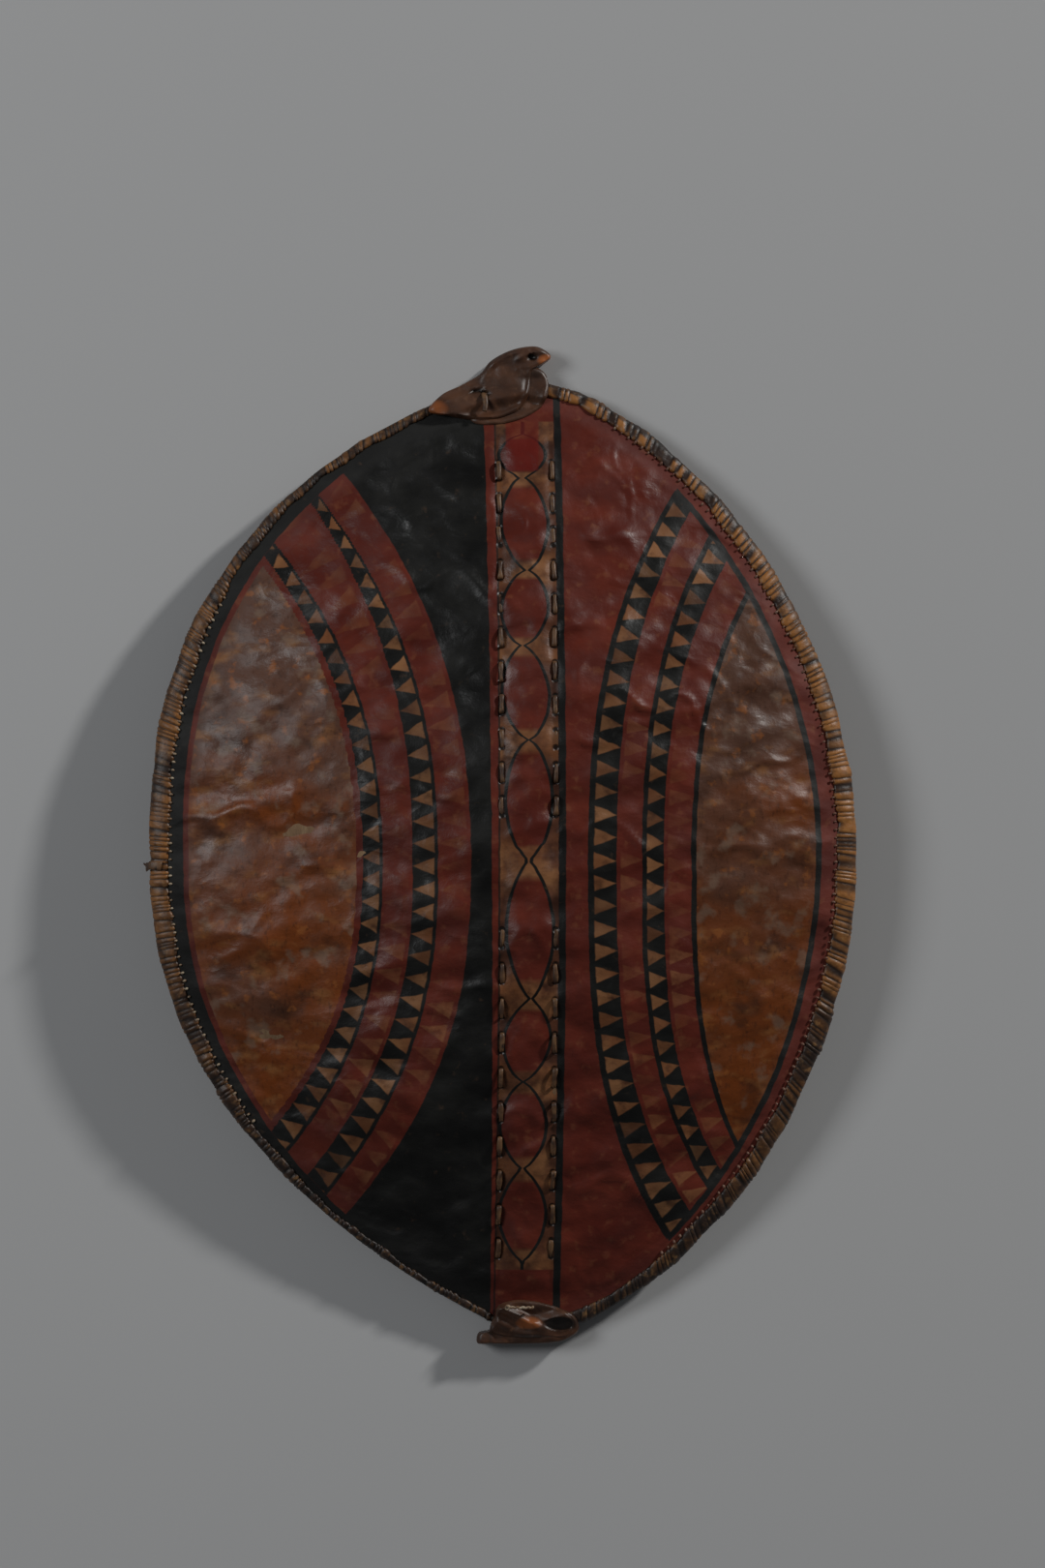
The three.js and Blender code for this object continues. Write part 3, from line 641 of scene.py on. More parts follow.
def make_hide():
    columns, rows = HIDE_GRID
    angle, reach = disc_grid(columns, rows)
    edge_x, edge_y = inset_outline(angle, HIDE_INSET)
    x = AXIS_X + (edge_x - AXIS_X) * reach
    y = edge_y * reach
    ray = np.hypot(edge_x - AXIS_X, edge_y)
    inset = HIDE_INSET + (1 - reach) * ray / lean_of(angle)
    height = hide_height(x, y)
    top = np.stack([x, y, height + HALF_HIDE + hide_relief(x, y, inset)], -1)
    under = np.stack([x, y, height - HALF_HIDE], -1)
    points = np.concatenate([top, under])
    hide = mesh_object("painted_hide", points, slab_faces(columns, rows), paint_material())
    hide.data.materials.append(back_material())
    cells = columns * rows
    index = np.zeros(len(hide.data.polygons), dtype=np.int32)
    index[cells:2 * cells] = 1
    hide.data.polygons.foreach_set("material_index", index)

    px, py = x / MM, y / MM
    crossing_y = np.array([c[0] for c in CROSSINGS][::-1], float)
    crossing_x = np.interp(py, crossing_y, [c[1] for c in CROSSINGS][::-1])
    share = np.interp(py, crossing_y, np.arange(len(CROSSINGS)), left=0, right=len(CROSSINGS) - 1)
    lobe = np.abs(np.sin(np.pi * share)) ** np.where(py > 0, 0.6, 0.72) * LOBE_HALF_WIDTH
    left = px < AXIS_X / MM
    values = {
        "height": py,
        "from_mid": px - midline(y) / MM,
        "from_crossing": px - midline(y) / MM - crossing_x,
        "lobe": lobe,
        "from_dash": dash_distance(py),
        "left_edge": inset / MM - np.where(py > 0, 33 - 15 * (py / 340) ** 2, 33 - 20 * (py / 340) ** 2),
        "right_edge": inset / MM - (37 - 11 * (py / 330) ** 2),
        "left_count": band_places(px, py, LEFT_LINES, LINE_POWERS["left"]),
        "right_count": band_places(px, py, RIGHT_LINES, LINE_POWERS["right"]),
        "first_along": np.where(
            left, along_line(px, py, LEFT_LINES[1], LINE_POWERS["left"]),
            along_line(px, py, RIGHT_LINES[0], LINE_POWERS["right"])) / TRIANGLE_PITCH,
        "second_along": np.where(
            left, along_line(px, py, LEFT_LINES[3], LINE_POWERS["left"]),
            along_line(px, py, RIGHT_LINES[2], LINE_POWERS["right"])) / TRIANGLE_PITCH,
    }
    for name, value in values.items():
        set_attribute(hide, name, np.concatenate([value, value]))
    place(hide, "painted_hide", "hide_panel")


# ---- The rim binding ----

# Round the rim by angle in degrees: how golden the hide is, partly its own tone and partly
# painted light, brightest on the right where the key lamp falls and dimmest low on the left;
# how deep it covers the face in millimetres; and the width of one pleat
RIM_GOLD_AND_LIGHT = [(0, 0.95), (25, 0.7), (55, 0.95), (84, 0.9), (92, 0.4), (130, 0.3), (165, 0.5), (185, 0.55),
            (205, 0.3), (225, 0.05), (260, 0.0), (285, 0.15), (320, 0.25), (340, 0.5), (360, 0.95)]
RIM_COVER = [(0, 20), (50, 16), (90, 13), (110, 10), (140, 11), (160, 18), (180, 20), (205, 15), (225, 8),
             (262, 9), (285, 14), (310, 17), (360, 20)]
RIM_STATIONS = 3400
STITCH_STATIONS = 300
RIM_PLEAT = [(0, 6.5), (30, 7), (45, 9.5), (85, 10), (95, 6), (150, 5), (210, 6), (250, 7), (360, 6.5)]


def round_rim(table, angle):
    degrees = np.degrees(angle) % 360
    return np.interp(degrees, [row[0] for row in table], [row[1] for row in table])


def rim_angles(count):
    """Angles at even steps along the edge, and the length of one step in metres."""
    fine = np.linspace(0, 2 * np.pi, 20001)
    x, y = outline(fine)
    run = np.concatenate([[0], np.cumsum(np.hypot(np.diff(x), np.diff(y)))])
    return np.interp(np.arange(count) * run[-1] / count, run, fine), run[-1] / count


def rim_material():
    """Rawhide gathered over the edge: painted shade in the folds, and golden crests that are
    partly rubbed wear and partly painted highlight.
    """
    s = Shade("gathered_rawhide")
    crest, gold = (s.add("Attribute", attribute_name=name, output="Fac") for name in ("crest", "gold"))
    # The crests' colour: patches of rubbed wear, lifted by the gold share, which is partly painted light
    patch = s.add("MapRange", s.noise(0.03, 4), 0.3, 0.7, -0.25, 0.25, interpolation_type="SMOOTHSTEP")
    patch = s.add("Math", patch, gold, operation="ADD")
    worn = s.grade(patch, 0.1, 0.9, "#2e1f17", "#98632f")
    worn = s.grade(s.noise(0.006, 4, shift=3), 0.5, 0.75, worn, "#a87c4c", 0.5)
    # Painted shade for the folds and pits, graded up by the crest share to the crests' colour, which is
    # partly a painted highlight
    fold_shade = s.add("Mix", gold, "#0e0906", "#2c190e", data_type="RGBA")
    colour = s.grade(crest, 0.12, 0.75, fold_shade, worn)
    spotted = s.add("Math", gold, -0.45, 0.8, operation="MULTIPLY_ADD")
    colour = s.grade(s.noise(0.009, 5, shift=6), 0.48, 0.68, colour, "#1d120c", spotted)
    return s.finish(colour, s.sheen(0.012, 0.3, 0.32), (s.noise(0.0025, 4, shift=9), 0.0006, 0.6))


def make_rim():
    angle, step = rim_angles(RIM_STATIONS)
    count = len(angle)
    x, y = outline(angle)
    pleat = round_rim(RIM_PLEAT, angle)
    phase = np.cumsum(step / MM / pleat)
    phase *= round(phase[-1]) / phase[-1]
    phase += 0.35 * waves(x, y, 0.03, 51) + 0.2 * waves(x, y, 0.012, 52)
    strength = 0.75 + 0.3 * waves(x, y, 0.03, 53)
    lumpy = np.interp(pleat, [6, 10], [0, 1])
    cover = (round_rim(RIM_COVER, angle) + 1.0 * waves(x, y, 0.05, 54)) * MM
    sag = np.clip(0.8 + 0.7 * waves(x, y, 0.06, 55), 0, 2.2) * MM

    # Section round the fold: share of the cover, then rise, lift by the pleats, and shift of phase
    section = [
        (1.0, 2.7, 0.2), (0.97, 4.0, 0.6), (0.86, 5.2, 0.9), (0.7, 5.9, 1.0), (0.52, 6.2, 1.1),
        (0.34, 6.0, 1.1),
        (0.18, 5.1, 1.0), (0.07, 3.6, 1.0), (0.01, 1.7, 1.0), (0.0, -0.5, 1.0), (0.04, -3.0, 1.0),
        (0.16, -5.2, 0.9), (0.4, -6.6, 0.7), (0.75, -6.8, 0.4), (0.9, -5.0, 0.2), (0.88, -3.2, 0.0),
        (0.25, -3.1, 0.0), (0.25, 2.7, 0.0),
    ]
    lean = lean_of(angle)
    ray = np.hypot(x - AXIS_X, y)
    points = np.empty((count, len(section), 3))
    crest = np.empty((count, len(section)))
    for k, (share, rise, lift) in enumerate(section):
        fold = np.abs(np.sin(np.pi * (phase + 0.05 * k))) ** 0.65
        fold = fold * (0.8 + 0.25 * waves(x, y, 0.02, 57))
        pit = lumpy * np.exp(-((share - 0.62) / 0.2) ** 2) * (1 - fold) * (rise > 0)
        out = (fold - 0.55) * strength * lift * (1.25 + 0.5 * lumpy) - 1.1 * pit
        nose = np.clip(1 - share * 5, 0, 1)
        inset = share * cover + sag * nose - out * MM * nose + 0.0007 * nose
        if k < 3:
            inset = inset + (fold - 0.5) * 0.0014
        part = 1 - inset * lean / ray
        px, py = AXIS_X + (x - AXIS_X) * part, y * part
        flat = np.clip(abs(rise) / 4.5, 0, 1) * np.sign(rise)
        points[:, k, 0], points[:, k, 1] = px, py
        points[:, k, 2] = hide_height(px, py) + (rise + out * flat) * MM
        # The crest share falls in the folds and pits, where the rim's colour is painted shade
        crest[:, k] = np.clip(fold - 0.5 * pit, 0, 1)
    rim = loft_object("rim_pleats", [points], rim_material(), loop=True)
    set_attribute(rim, "crest", crest.ravel())
    shares = np.array([row[0] for row in section])[None, :]
    # The gold share is partly painted light, and is lowered on the outer part of the lumpy pleats
    gold = round_rim(RIM_GOLD_AND_LIGHT, angle)[:, None] * (1 - 0.85 * lumpy[:, None] * (shares < 0.36))
    set_attribute(rim, "gold", gold.ravel())
    place(rim, "rim_hide", "rim_binding")


# ---- Stitches, strewn along a line by Geometry Nodes ----

def stitch_nodes(material):
    """A tree that lays one small rounded stitch at every point, along the point's aim."""
    tree = bpy.data.node_groups.new("stitches", "GeometryNodeTree")
    face = tree.interface
    face.new_socket("Geometry", in_out="INPUT", socket_type="NodeSocketGeometry")
    for name in ("Length", "Width", "Thickness"):
        face.new_socket(name, in_out="INPUT", socket_type="NodeSocketFloat")
    face.new_socket("Seed", in_out="INPUT", socket_type="NodeSocketInt")
    face.new_socket("Geometry", in_out="OUTPUT", socket_type="NodeSocketGeometry")
    given = tree.nodes.new("NodeGroupInput").outputs
    result = tree.nodes.new("NodeGroupOutput").inputs
    ball = add(tree, "GeometryNodeMeshUVSphere", 8, 6, 0.5)
    size = add(tree, "ShaderNodeCombineXYZ", given["Length"], given["Width"], given["Thickness"])
    stitch = add(tree, "GeometryNodeTransform", ball, inputs={"Scale": size})
    aim, up = (
        add(tree, "GeometryNodeInputNamedAttribute", name, data_type="FLOAT_VECTOR")
        for name in ("aim", "up"))
    turned = add(tree, "FunctionNodeAlignRotationToVector", inputs={"Vector": aim}, axis="X")
    turned = add(
        tree, "FunctionNodeAlignRotationToVector", turned, inputs={"Vector": up}, axis="Z", pivot_axis="X")
    spread = add(tree, "FunctionNodeRandomValue", 0.75, 1.2, inputs={"Seed": given["Seed"]})
    laid = add(tree, "GeometryNodeInstanceOnPoints", given["Geometry"], inputs={
        "Instance": stitch, "Rotation": turned, "Scale": spread})
    real = add(tree, "GeometryNodeRealizeInstances", laid)
    soft = add(tree, "GeometryNodeSetShadeSmooth", real)
    coated = add(tree, "GeometryNodeSetMaterial", soft, inputs={"Material": material})
    tree.links.new(coated, result["Geometry"])
    return tree


def strewn(name, tree, points, aim, up, sizes):
    """A plain mesh of stitches at the given points."""
    mesh = bpy.data.meshes.new(name + "_points")
    mesh.from_pydata(points.tolist(), [], [])
    for label, values in (("aim", aim), ("up", up)):
        layer = mesh.attributes.new(label, "FLOAT_VECTOR", "POINT")
        layer.data.foreach_set("vector", np.asarray(values, dtype=np.float32).ravel())
    source = bpy.data.objects.new(name + "_points", mesh)
    scene.collection.objects.link(source)
    modifier = source.modifiers.new("stitches", "NODES")
    modifier.node_group = tree
    for item in tree.interface.items_tree:
        if item.in_out == "INPUT" and item.name in sizes:
            modifier[item.identifier] = sizes[item.name]
    built = source.evaluated_get(bpy.context.evaluated_depsgraph_get())
    made = bpy.data.objects.new(name, bpy.data.meshes.new_from_object(built))
    scene.collection.objects.link(made)
    bpy.data.objects.remove(source)
    return made


def sinew_material():
    """Twisted sinew and thong: dry, mottled pale and brown, and stained by the red paint
    over on the right."""
    s = Shade("dry_sinew")
    colour = s.grade(s.noise(0.006, 4), 0.35, 0.65, "#b3a48c", "#6a4c32")
    colour = s.grade(s.add("SeparateXYZ", s.place), 0.05, 0.15, colour, "#5a2015", 0.7)
    return s.finish(colour, 0.55, (s.noise(0.0015, 3, (0.4, 2, 1)), 0.0005, 0.7))


def make_rim_stitches():
    """Short stitches of sinew over the inner lip of the binding, where they show."""
    angle, _ = rim_angles(STITCH_STATIONS)
    degrees = np.degrees(angle) % 360
    bare_high, bare_low = (degrees >= 70) & (degrees <= 150), (degrees >= 212) & (degrees <= 300)
    angle = angle[~bare_high & ~bare_low]
    inset = round_rim(RIM_COVER, angle) * MM + 0.0012
    x, y = inset_outline(angle, inset)
    points = np.stack([x, y, hide_height(x, y) + 0.0042], -1)
    x1, y1 = inset_outline(angle, inset - 0.006)
    aim = np.stack([x1 - x, y1 - y, np.full_like(x, 0.002)], -1)
    up = np.tile([0.0, 0.0, 1.0], (len(x), 1))
    sizes = {"Length": 0.0036, "Width": 0.0023, "Thickness": 0.0022, "Seed": 4}
    made = strewn("rim_stitches", stitch_nodes(sinew_material()), points, aim, up, sizes)
    place(made, "thong")


# ---- The lacing ----

def ribbon(path, across, half_width, half_height, corners=10):
    """Rounded sections along a path, given as points and the direction of their width."""
    tangent = np.gradient(path, axis=0)
    tangent /= np.linalg.norm(tangent, axis=1)[:, None]
    across = across - tangent * np.sum(across * tangent, axis=1)[:, None]
    across /= np.linalg.norm(across, axis=1)[:, None]
    up = np.cross(tangent, across)
    turn = np.arange(corners) * 2 * np.pi / corners
    wide = (np.sign(np.cos(turn)) * np.abs(np.cos(turn)) ** 0.75)[None, :, None] * half_width[:, None, None]
    high = (np.sign(np.sin(turn)) * np.abs(np.sin(turn)) ** 0.75)[None, :, None] * half_height[:, None, None]
    return path[:, None, :] + across[:, None, :] * wide + up[:, None, :] * high


def thong_material():
    """Rawhide thong: stiff, ochre and dry, browned where hands and paint have reached it."""
    s = Shade("rawhide_thong")
    colour = s.grade(s.noise(0.012, 4), 0.35, 0.65, "#6f5034", "#3f291b")
    colour = s.grade(s.noise(0.004, 3, (1, 3, 1)), 0.55, 0.75, colour, "#261710")
    return s.finish(colour, s.sheen(0.01, 0.3, 0.35), (s.noise(0.002, 4, (0.5, 3, 1)), 0.0004, 0.6))


def lacing_path(side, seam, seed):
    """One thong in and out of the hide: over the face for a dash, then along the back."""
    rng = np.random.default_rng(seed)
    share = np.linspace(0, np.pi, 15)[:-1]
    wide, high = np.cos(share), np.abs(np.sin(share)) ** 0.45
    wide = np.sign(wide) * np.abs(wide) ** 0.6
    y, z = [], []
    for k in range(seam["dashes"]):
        start = seam["first"] - k * seam["pitch"] + rng.uniform(-0.6, 0.6) * MM
        end = start - DASH + rng.uniform(-0.6, 0.6) * MM
        after = start - seam["pitch"]
        y.append((start + end) / 2 + wide * (start - end) / 2)
        z.append(high * rng.uniform(3.4, 3.9) * MM)
        if k < seam["dashes"] - 1:
            y.append((end + after) / 2 + wide * (end - after) / 2)
            z.append(-high * 8.0 * MM)
    y, z = np.concatenate(y), np.concatenate(z)
    x = midline(y) + side * ROW_GAUGE + 0.0004 * waves(y, y, 0.05, seed)
    return np.stack([x, y, hide_height(x, y) + z], -1)


def make_lacing():
    material = thong_material()
    for name, side, seam, seed in (
        ("lacing_upper_left", -1, UPPER_SEAM, 61), ("lacing_upper_right", 1, UPPER_SEAM, 62),
        ("lacing_lower_left", -1, LOWER_SEAM, 63), ("lacing_lower_right", 1, LOWER_SEAM, 64),
    ):
        path = lacing_path(side, seam, seed)
        wide = (2.0 + 0.3 * waves(path[:, 1], path[:, 1], 0.02, seed)) * MM
        rings = ribbon(path, np.tile([1.0, 0, 0], (len(path), 1)), wide, np.full(len(path), 1.1 * MM))
        place(loft_object("thong_" + name, [rings], material), "thong", name)


# ---- The caps ----

# Plan outlines in millimetres: the upper leaf of each cap, and the leaf folded under it
CAP_OUTLINES = {
    "top": [
        (28, 433), (30, 441), (40, 447), (46, 453), (36, 461), (26, 462), (8, 458), (-10, 448), (-19, 437),
        (-37, 426), (-55, 417), (-67, 402), (-48, 397), (-21, 393), (-1, 395), (17, 403), (26, 417)],
    "top_flap": [
        (45, 426), (38, 440), (15, 445), (-10, 435), (-30, 415), (-28, 392), (-1, 389), (22, 395), (40, 408)],
    "bottom": [
        (68, -442), (62, -433), (40, -424), (13, -421), (-3, -427), (-6, -438), (-10, -450), (13, -456),
        (40, -456), (65, -453)],
    "bottom_flap": [
        (72, -449), (67, -435), (40, -427), (4, -428), (-8, -440), (-11, -450), (-21, -453), (-22, -461),
        (-8, -462), (29, -462), (58, -459)],
}


def closed_curve(points, angle):
    """The smooth closed curve through plan points, as a function of the angle round it."""
    points = np.asarray(points, float)
    count = len(points)
    place_on = (np.asarray(angle) / (2 * np.pi) % 1) * count
    k = np.floor(place_on).astype(int)
    t = (place_on - k)[:, None]
    p0, p1, p2, p3 = (points[(k + shift) % count] for shift in (-1, 0, 1, 2))
    d0, d1, d2 = (np.linalg.norm(b - a, axis=1)[:, None] ** 0.5 for a, b in ((p0, p1), (p1, p2), (p2, p3)))
    m1 = ((p1 - p0) / d0 - (p2 - p0) / (d0 + d1) + (p2 - p1) / d1) * d1
    m2 = ((p2 - p1) / d1 - (p3 - p1) / (d1 + d2) + (p3 - p2) / d2) * d1
    return p1 + m1 * t + (3 * (p2 - p1) - 2 * m1 - m2) * t ** 2 + (2 * (p1 - p2) + m1 + m2) * t ** 3


def edge_gap(x, y):
    """Distance in from the shield's edge, in millimetres, true near the edge."""
    wide = np.abs(x - AXIS_X) / reach_of(x)
    high = np.abs(y) / length_of(y)
    spread, rise = spread_power(x, y), rise_power(x, y)
    level = wide ** spread + high ** rise
    slope_x = spread * wide ** (spread - 1) / reach_of(x)
    slope_y = rise * high ** (rise - 1) / length_of(y)
    return (1 - level) / np.maximum(np.hypot(slope_x, slope_y), 1e-6) / MM


def ridge(px, py, line, height, half):
    """A soft ridge, or a groove where the height is negative, along a broken line."""
    near = np.full_like(px, 1e9)
    for (x0, y0), (x1, y1) in zip(line[:-1], line[1:]):
        run = (x1 - x0) ** 2 + (y1 - y0) ** 2
        share = np.clip(((px - x0) * (x1 - x0) + (py - y0) * (y1 - y0)) / run, 0, 1)
        near = np.minimum(near, np.hypot(px - x0 - share * (x1 - x0), py - y0 - share * (y1 - y0)))
    return height * np.exp(-(near / half) ** 2)


def dome(px, py, centre, radii, height):
    away = ((px - centre[0]) / radii[0]) ** 2 + ((py - centre[1]) / radii[1]) ** 2
    return height * np.clip(1 - away, 0, 1) ** 0.7


TOP_LIP = [(30, 432), (28, 418), (19, 405), (4, 397), (-18, 395), (-40, 398)]
TOP_SLIT = [(-27, 420), (-20, 421), (-12, 417)]
BEAK_HOLE = (29, 452)
POCKET = (55, -443)
FOLD_END = (34, -446)


def top_forms(px, py):
    """Rise and fall of the upper cap's leaf: belly, rolled lip, creases, slit and beak."""
    rise = dome(px, py, (7, 421), (22, 24), 2.2)
    rise += ridge(px, py, TOP_LIP, 1.7, 2.4)
    rise += ridge(px, py, [(24, 432), (22, 420), (14, 409), (2, 403), (-16, 401)], -1.1, 2.4)
    rise += ridge(px, py, [(-6, 446), (-15, 432), (-14, 417), (-6, 405)], 1.3, 2.4)
    rise += ridge(px, py, [(-20, 436), (-6, 448), (10, 456), (24, 459)], 1.2, 3.0)
    rise += ridge(px, py, [(-60, 406), (-36, 417), (-22, 424)], 1.3, 4.0)
    rise += ridge(px, py, TOP_SLIT, -3.2, 1.7) + ridge(px, py, [(-27, 424), (-12, 421)], 0.9, 1.8)
    rise += ridge(px, py, [(16, 450), (26, 456), (38, 457)], 1.3, 2.4)
    rise += ridge(px, py, [(16, 442), (28, 444), (38, 448)], 1.0, 2.2)
    return rise - dome(px, py, BEAK_HOLE, (5, 3.4), 4.0)


def bottom_forms(px, py):
    """Rise and fall of the lower cap: the fold drawn over to a bright corner, the pocket."""
    rise = ridge(px, py, [(-2, -425), (14, -433), FOLD_END], 2.6, 4.5)
    rise += ridge(px, py, [(20, -430), (38, -441)], -1.5, 3.0)
    rise += ridge(px, py, [(-4, -440), (10, -450), (30, -454)], 1.5, 4.0)
    rise += ridge(px, py, [(0, -434), (14, -444)], -1.2, 3.0)
    return rise - dome(px, py, POCKET, (15, 6.5), 5.5)


def leaf(name, points, centre, rise, forms, columns=72, rows=48):
    """One leaf of a cap: a rounded slab draped over the bound edge, flat underneath."""
    angle, reach = disc_grid(columns, rows)
    edge = closed_curve(points, angle)
    middle = np.asarray(centre, float)
    gap = (1 - reach) * np.linalg.norm(edge - middle, axis=1)
    plan = (middle + (edge - middle) * reach[:, None]) * MM
    x, y = plan[:, 0], plan[:, 1]
    inset = edge_gap(x, y)
    over = rise - 6 * ease(inset, 15, 25)
    drop = 3.6 - np.sqrt(3.6 ** 2 - (3.6 - np.minimum(gap, 3.6)) ** 2)
    height = hide_height(x, y)
    shape = forms(x / MM, y / MM) * ease(gap, 0, 5) + 0.25 * waves(x, y, 0.014, 71) * ease(gap, 0, 4)
    upper = height + (over - drop + shape) * MM
    lower = np.maximum(0, height - 15 * MM) + drop * MM
    lower = np.minimum(lower, upper - 2 * MM)
    count = len(x)
    cells, border = grid_faces(columns, rows)
    points3 = [np.stack([x, y, upper], -1), np.stack([x, y, lower], -1)]
    faces = [cells, cells[:, ::-1] + count]
    above = border
    for k, share in enumerate((0.2, 0.4, 0.5, 0.6, 0.8)):
        tuck = 1.5 * math.exp(-((share - 0.5) / 0.12) ** 2) - 0.3
        inward = middle * MM - plan[border]
        inward /= np.linalg.norm(inward, axis=1)[:, None]
        ring = plan[border] + inward * (tuck + 0.3) * MM
        rim_z = upper[border] + (lower[border] - upper[border]) * share
        points3.append(np.column_stack([ring, rim_z]))
        below = 2 * count + k * len(border) + np.arange(len(border))
        faces.append(np.stack([below, np.roll(below, -1), np.roll(above, -1), above], -1))
        above = below
    below = border + count
    faces.append(np.stack([below, np.roll(below, -1), np.roll(above, -1), above], -1))
    return mesh_object(name, np.concatenate(points3), np.concatenate(faces).tolist(), None)


def tip_room(end):
    """The space that one bound tip of the shield takes up inside its cap."""
    away = np.linspace(0.66, 0.004, 34)
    left = np.stack(inset_outline(end * (np.pi / 2 + away), np.full_like(away, -0.0032)), -1)
    right = np.stack(inset_outline(end * (np.pi / 2 - away), np.full_like(away, -0.0032)), -1)
    share = np.linspace(0, 1, 40)[None, :, None]
    plan = left[:, None, :] * (1 - share) + right[:, None, :] * share
    x, y = plan[..., 0], plan[..., 1]
    height, inset = hide_height(x, y), edge_gap(x, y)
    upper = height + (8.9 - 6 * ease(inset, 15, 25)) * MM
    lower = height - (8.6 - 4 * ease(inset, 18, 28)) * MM
    rings = np.concatenate([np.stack([x, y, upper], -1), np.stack([x, y, lower], -1)[:, ::-1]], axis=1)
    return loft_object("tip_room", [rings], None)


def boolean(base, other, operation):
    modifier = base.modifiers.new(operation, "BOOLEAN")
    modifier.operation = operation
    modifier.solver = "EXACT"
    modifier.object = other
    built = base.evaluated_get(bpy.context.evaluated_depsgraph_get())
    mesh = bpy.data.meshes.new_from_object(built)
    base.modifiers.clear()
    base.data = mesh
    bpy.data.objects.remove(other)
    return base


def cap_material():
    """Thick hide dried hard over the tips and handled smooth: dark, waxy brown with a soft
    shine, rubbed through to orange on the upper cap's corners. Painted shade lies near black in
    its recesses, and an orange patch on the lower cap is a painted highlight."""
    s = Shade("handled_rawhide")
    colour = s.grade(s.noise(0.02, 5, (1.6, 1, 1)), 0.35, 0.7, "#3a2418", "#553624")
    colour = s.grade(s.noise(0.006, 5, shift=4), 0.55, 0.75, colour, "#6d4c36", 0.5)
    # An orange share, wear on the upper cap and a painted highlight on the lower; and a near-black share of
    # painted shade in the recesses
    for name, code in (("worn", "#9a5526"), ("dark", "#120b07")):
        share = s.add("Attribute", attribute_name=name, output="Fac")
        colour = s.add("Mix", share, colour, code, data_type="RGBA")
    return s.finish(colour, s.sheen(0.015, 0.3, 0.28), (s.noise(0.003, 4, shift=7), 0.0005, 0.5))


def make_cap(name, leaves, end, slot_node, dark, worn, material):
    cap, flap = leaves
    cap = boolean(cap, flap, "UNION")
    cap = boolean(cap, tip_room(end), "DIFFERENCE")
    cap.name = name
    mesh = cap.data
    mesh.materials.clear()
    mesh.materials.append(material)
    mesh.shade_smooth()
    mesh.set_sharp_from_angle(angle=math.radians(50))
    points = np.empty(len(mesh.vertices) * 3, dtype=np.float32)
    mesh.vertices.foreach_get("co", points)
    px, py = points.reshape(-1, 3)[:, 0] / MM, points.reshape(-1, 3)[:, 1] / MM
    set_attribute(cap, "dark", np.clip(dark(px, py), 0, 1))
    set_attribute(cap, "worn", np.clip(worn(px, py), 0, 1))
    place(cap, "cap_hide", slot_node)


def make_caps():
    material = cap_material()
    make_cap(
        "upper_cap_fold",
        (leaf("leaf", CAP_OUTLINES["top"], (8, 432), 12.5, top_forms),
         leaf("flap", CAP_OUTLINES["top_flap"], (12, 418), 10.2, lambda px, py: ridge(
             px, py, [(43, 424), (36, 406), (20, 397), (0, 392), (-22, 394)], 0.9, 2.5))),
        1, "top_cap",
        # Painted shade near black in the slit, the beak hole and the gap under the rolled lip
        lambda px, py: (
            ridge(px, py, TOP_SLIT, 1.0, 2.2) + dome(px, py, BEAK_HOLE, (5.5, 4), 1.3)
            + 0.5 * dome(px, py, (33, 437), (6, 5), 1.0)),
        # Orange wear on the beak's tip and the left tail
        lambda px, py: dome(px, py, (42, 449), (9, 6), 1.2) + dome(px, py, (-62, 404), (14, 9), 0.7),
        material)
    make_cap(
        "lower_cap_fold",
        (leaf("leaf", CAP_OUTLINES["bottom"], (27, -441), 12.5, bottom_forms),
         leaf("flap", CAP_OUTLINES["bottom_flap"], (27, -446), 10.5, lambda px, py: dome(
             px, py, (-15, -457), (9, 7), 2.0) + ridge(px, py, [(40, -457), (66, -452)], 1.2, 3.0))),
        -1, "bottom_cap",
        # Painted shade near black in the pocket and beside the knob
        lambda px, py: (
            dome(px, py, POCKET, (16, 7.5), 1.5) + 0.5 * ridge(px, py, [(-9, -446), (-10, -460)], 1.0, 2.0)),
        # An orange painted highlight on the fold's bright corner
        lambda px, py: 0.8 * dome(px, py, (26, -442), (13, 6), 1.0),
        material)


def make_cap_thongs():
    material = sinew_material()
    y = np.linspace(418, 401, 14)
    rise = 14.6 + 0.9 * np.sin(np.linspace(0.3, 2.9, 14)) - 3.4 * ease(y, 416, 418)
    x = -15 + 0.8 * np.sin(y / 4)
    path = np.stack([x * MM, y * MM, hide_height(x * MM, y * MM) + rise * MM], -1)
    wide = np.linspace(2.7, 2.2, 14) * MM
    rings = ribbon(path, np.tile([1.0, 0, 0], (14, 1)), wide, np.full(14, 1.3 * MM))
    place(loft_object("upper_cap_thong_end", [rings], thong_material()), "thong", "top_cap_thong")

    x = np.linspace(5, 30, 40)
    rise = 15.2 - 5 * (ease(-x, -7, -5) + ease(x, 28, 30)) + 0.3 * np.sin(x * 2.2)
    y = -427 + 0.35 * np.sin(x * 1.3)
    path = np.stack([x * MM, y * MM, hide_height(x * MM, y * MM) + rise * MM], -1)
    rings = ribbon(path, np.tile([0, 1.0, 0], (40, 1)), np.full(40, 1.2 * MM), np.full(40, 0.9 * MM))
    turn = np.linspace(0, 4.6 * np.pi, 60)
    swirl = np.stack([
        6.2 + 2.2 * np.cos(turn) * np.linspace(1, 0.6, 60),
        -427 + 2.0 * np.sin(turn) * np.linspace(1, 0.7, 60),
        14.8 + 2.2 * np.linspace(0, 1, 60)], -1) * MM
    swirl[:, 2] += hide_height(swirl[:, 0], swirl[:, 1])
    knot = ribbon(swirl, np.tile([0, 0, 1.0], (60, 1)), np.full(60, 1.0 * MM), np.full(60, 0.9 * MM))
    place(loft_object("lower_cap_stitch", [rings, knot], material), "thong", "bottom_cap_thong")


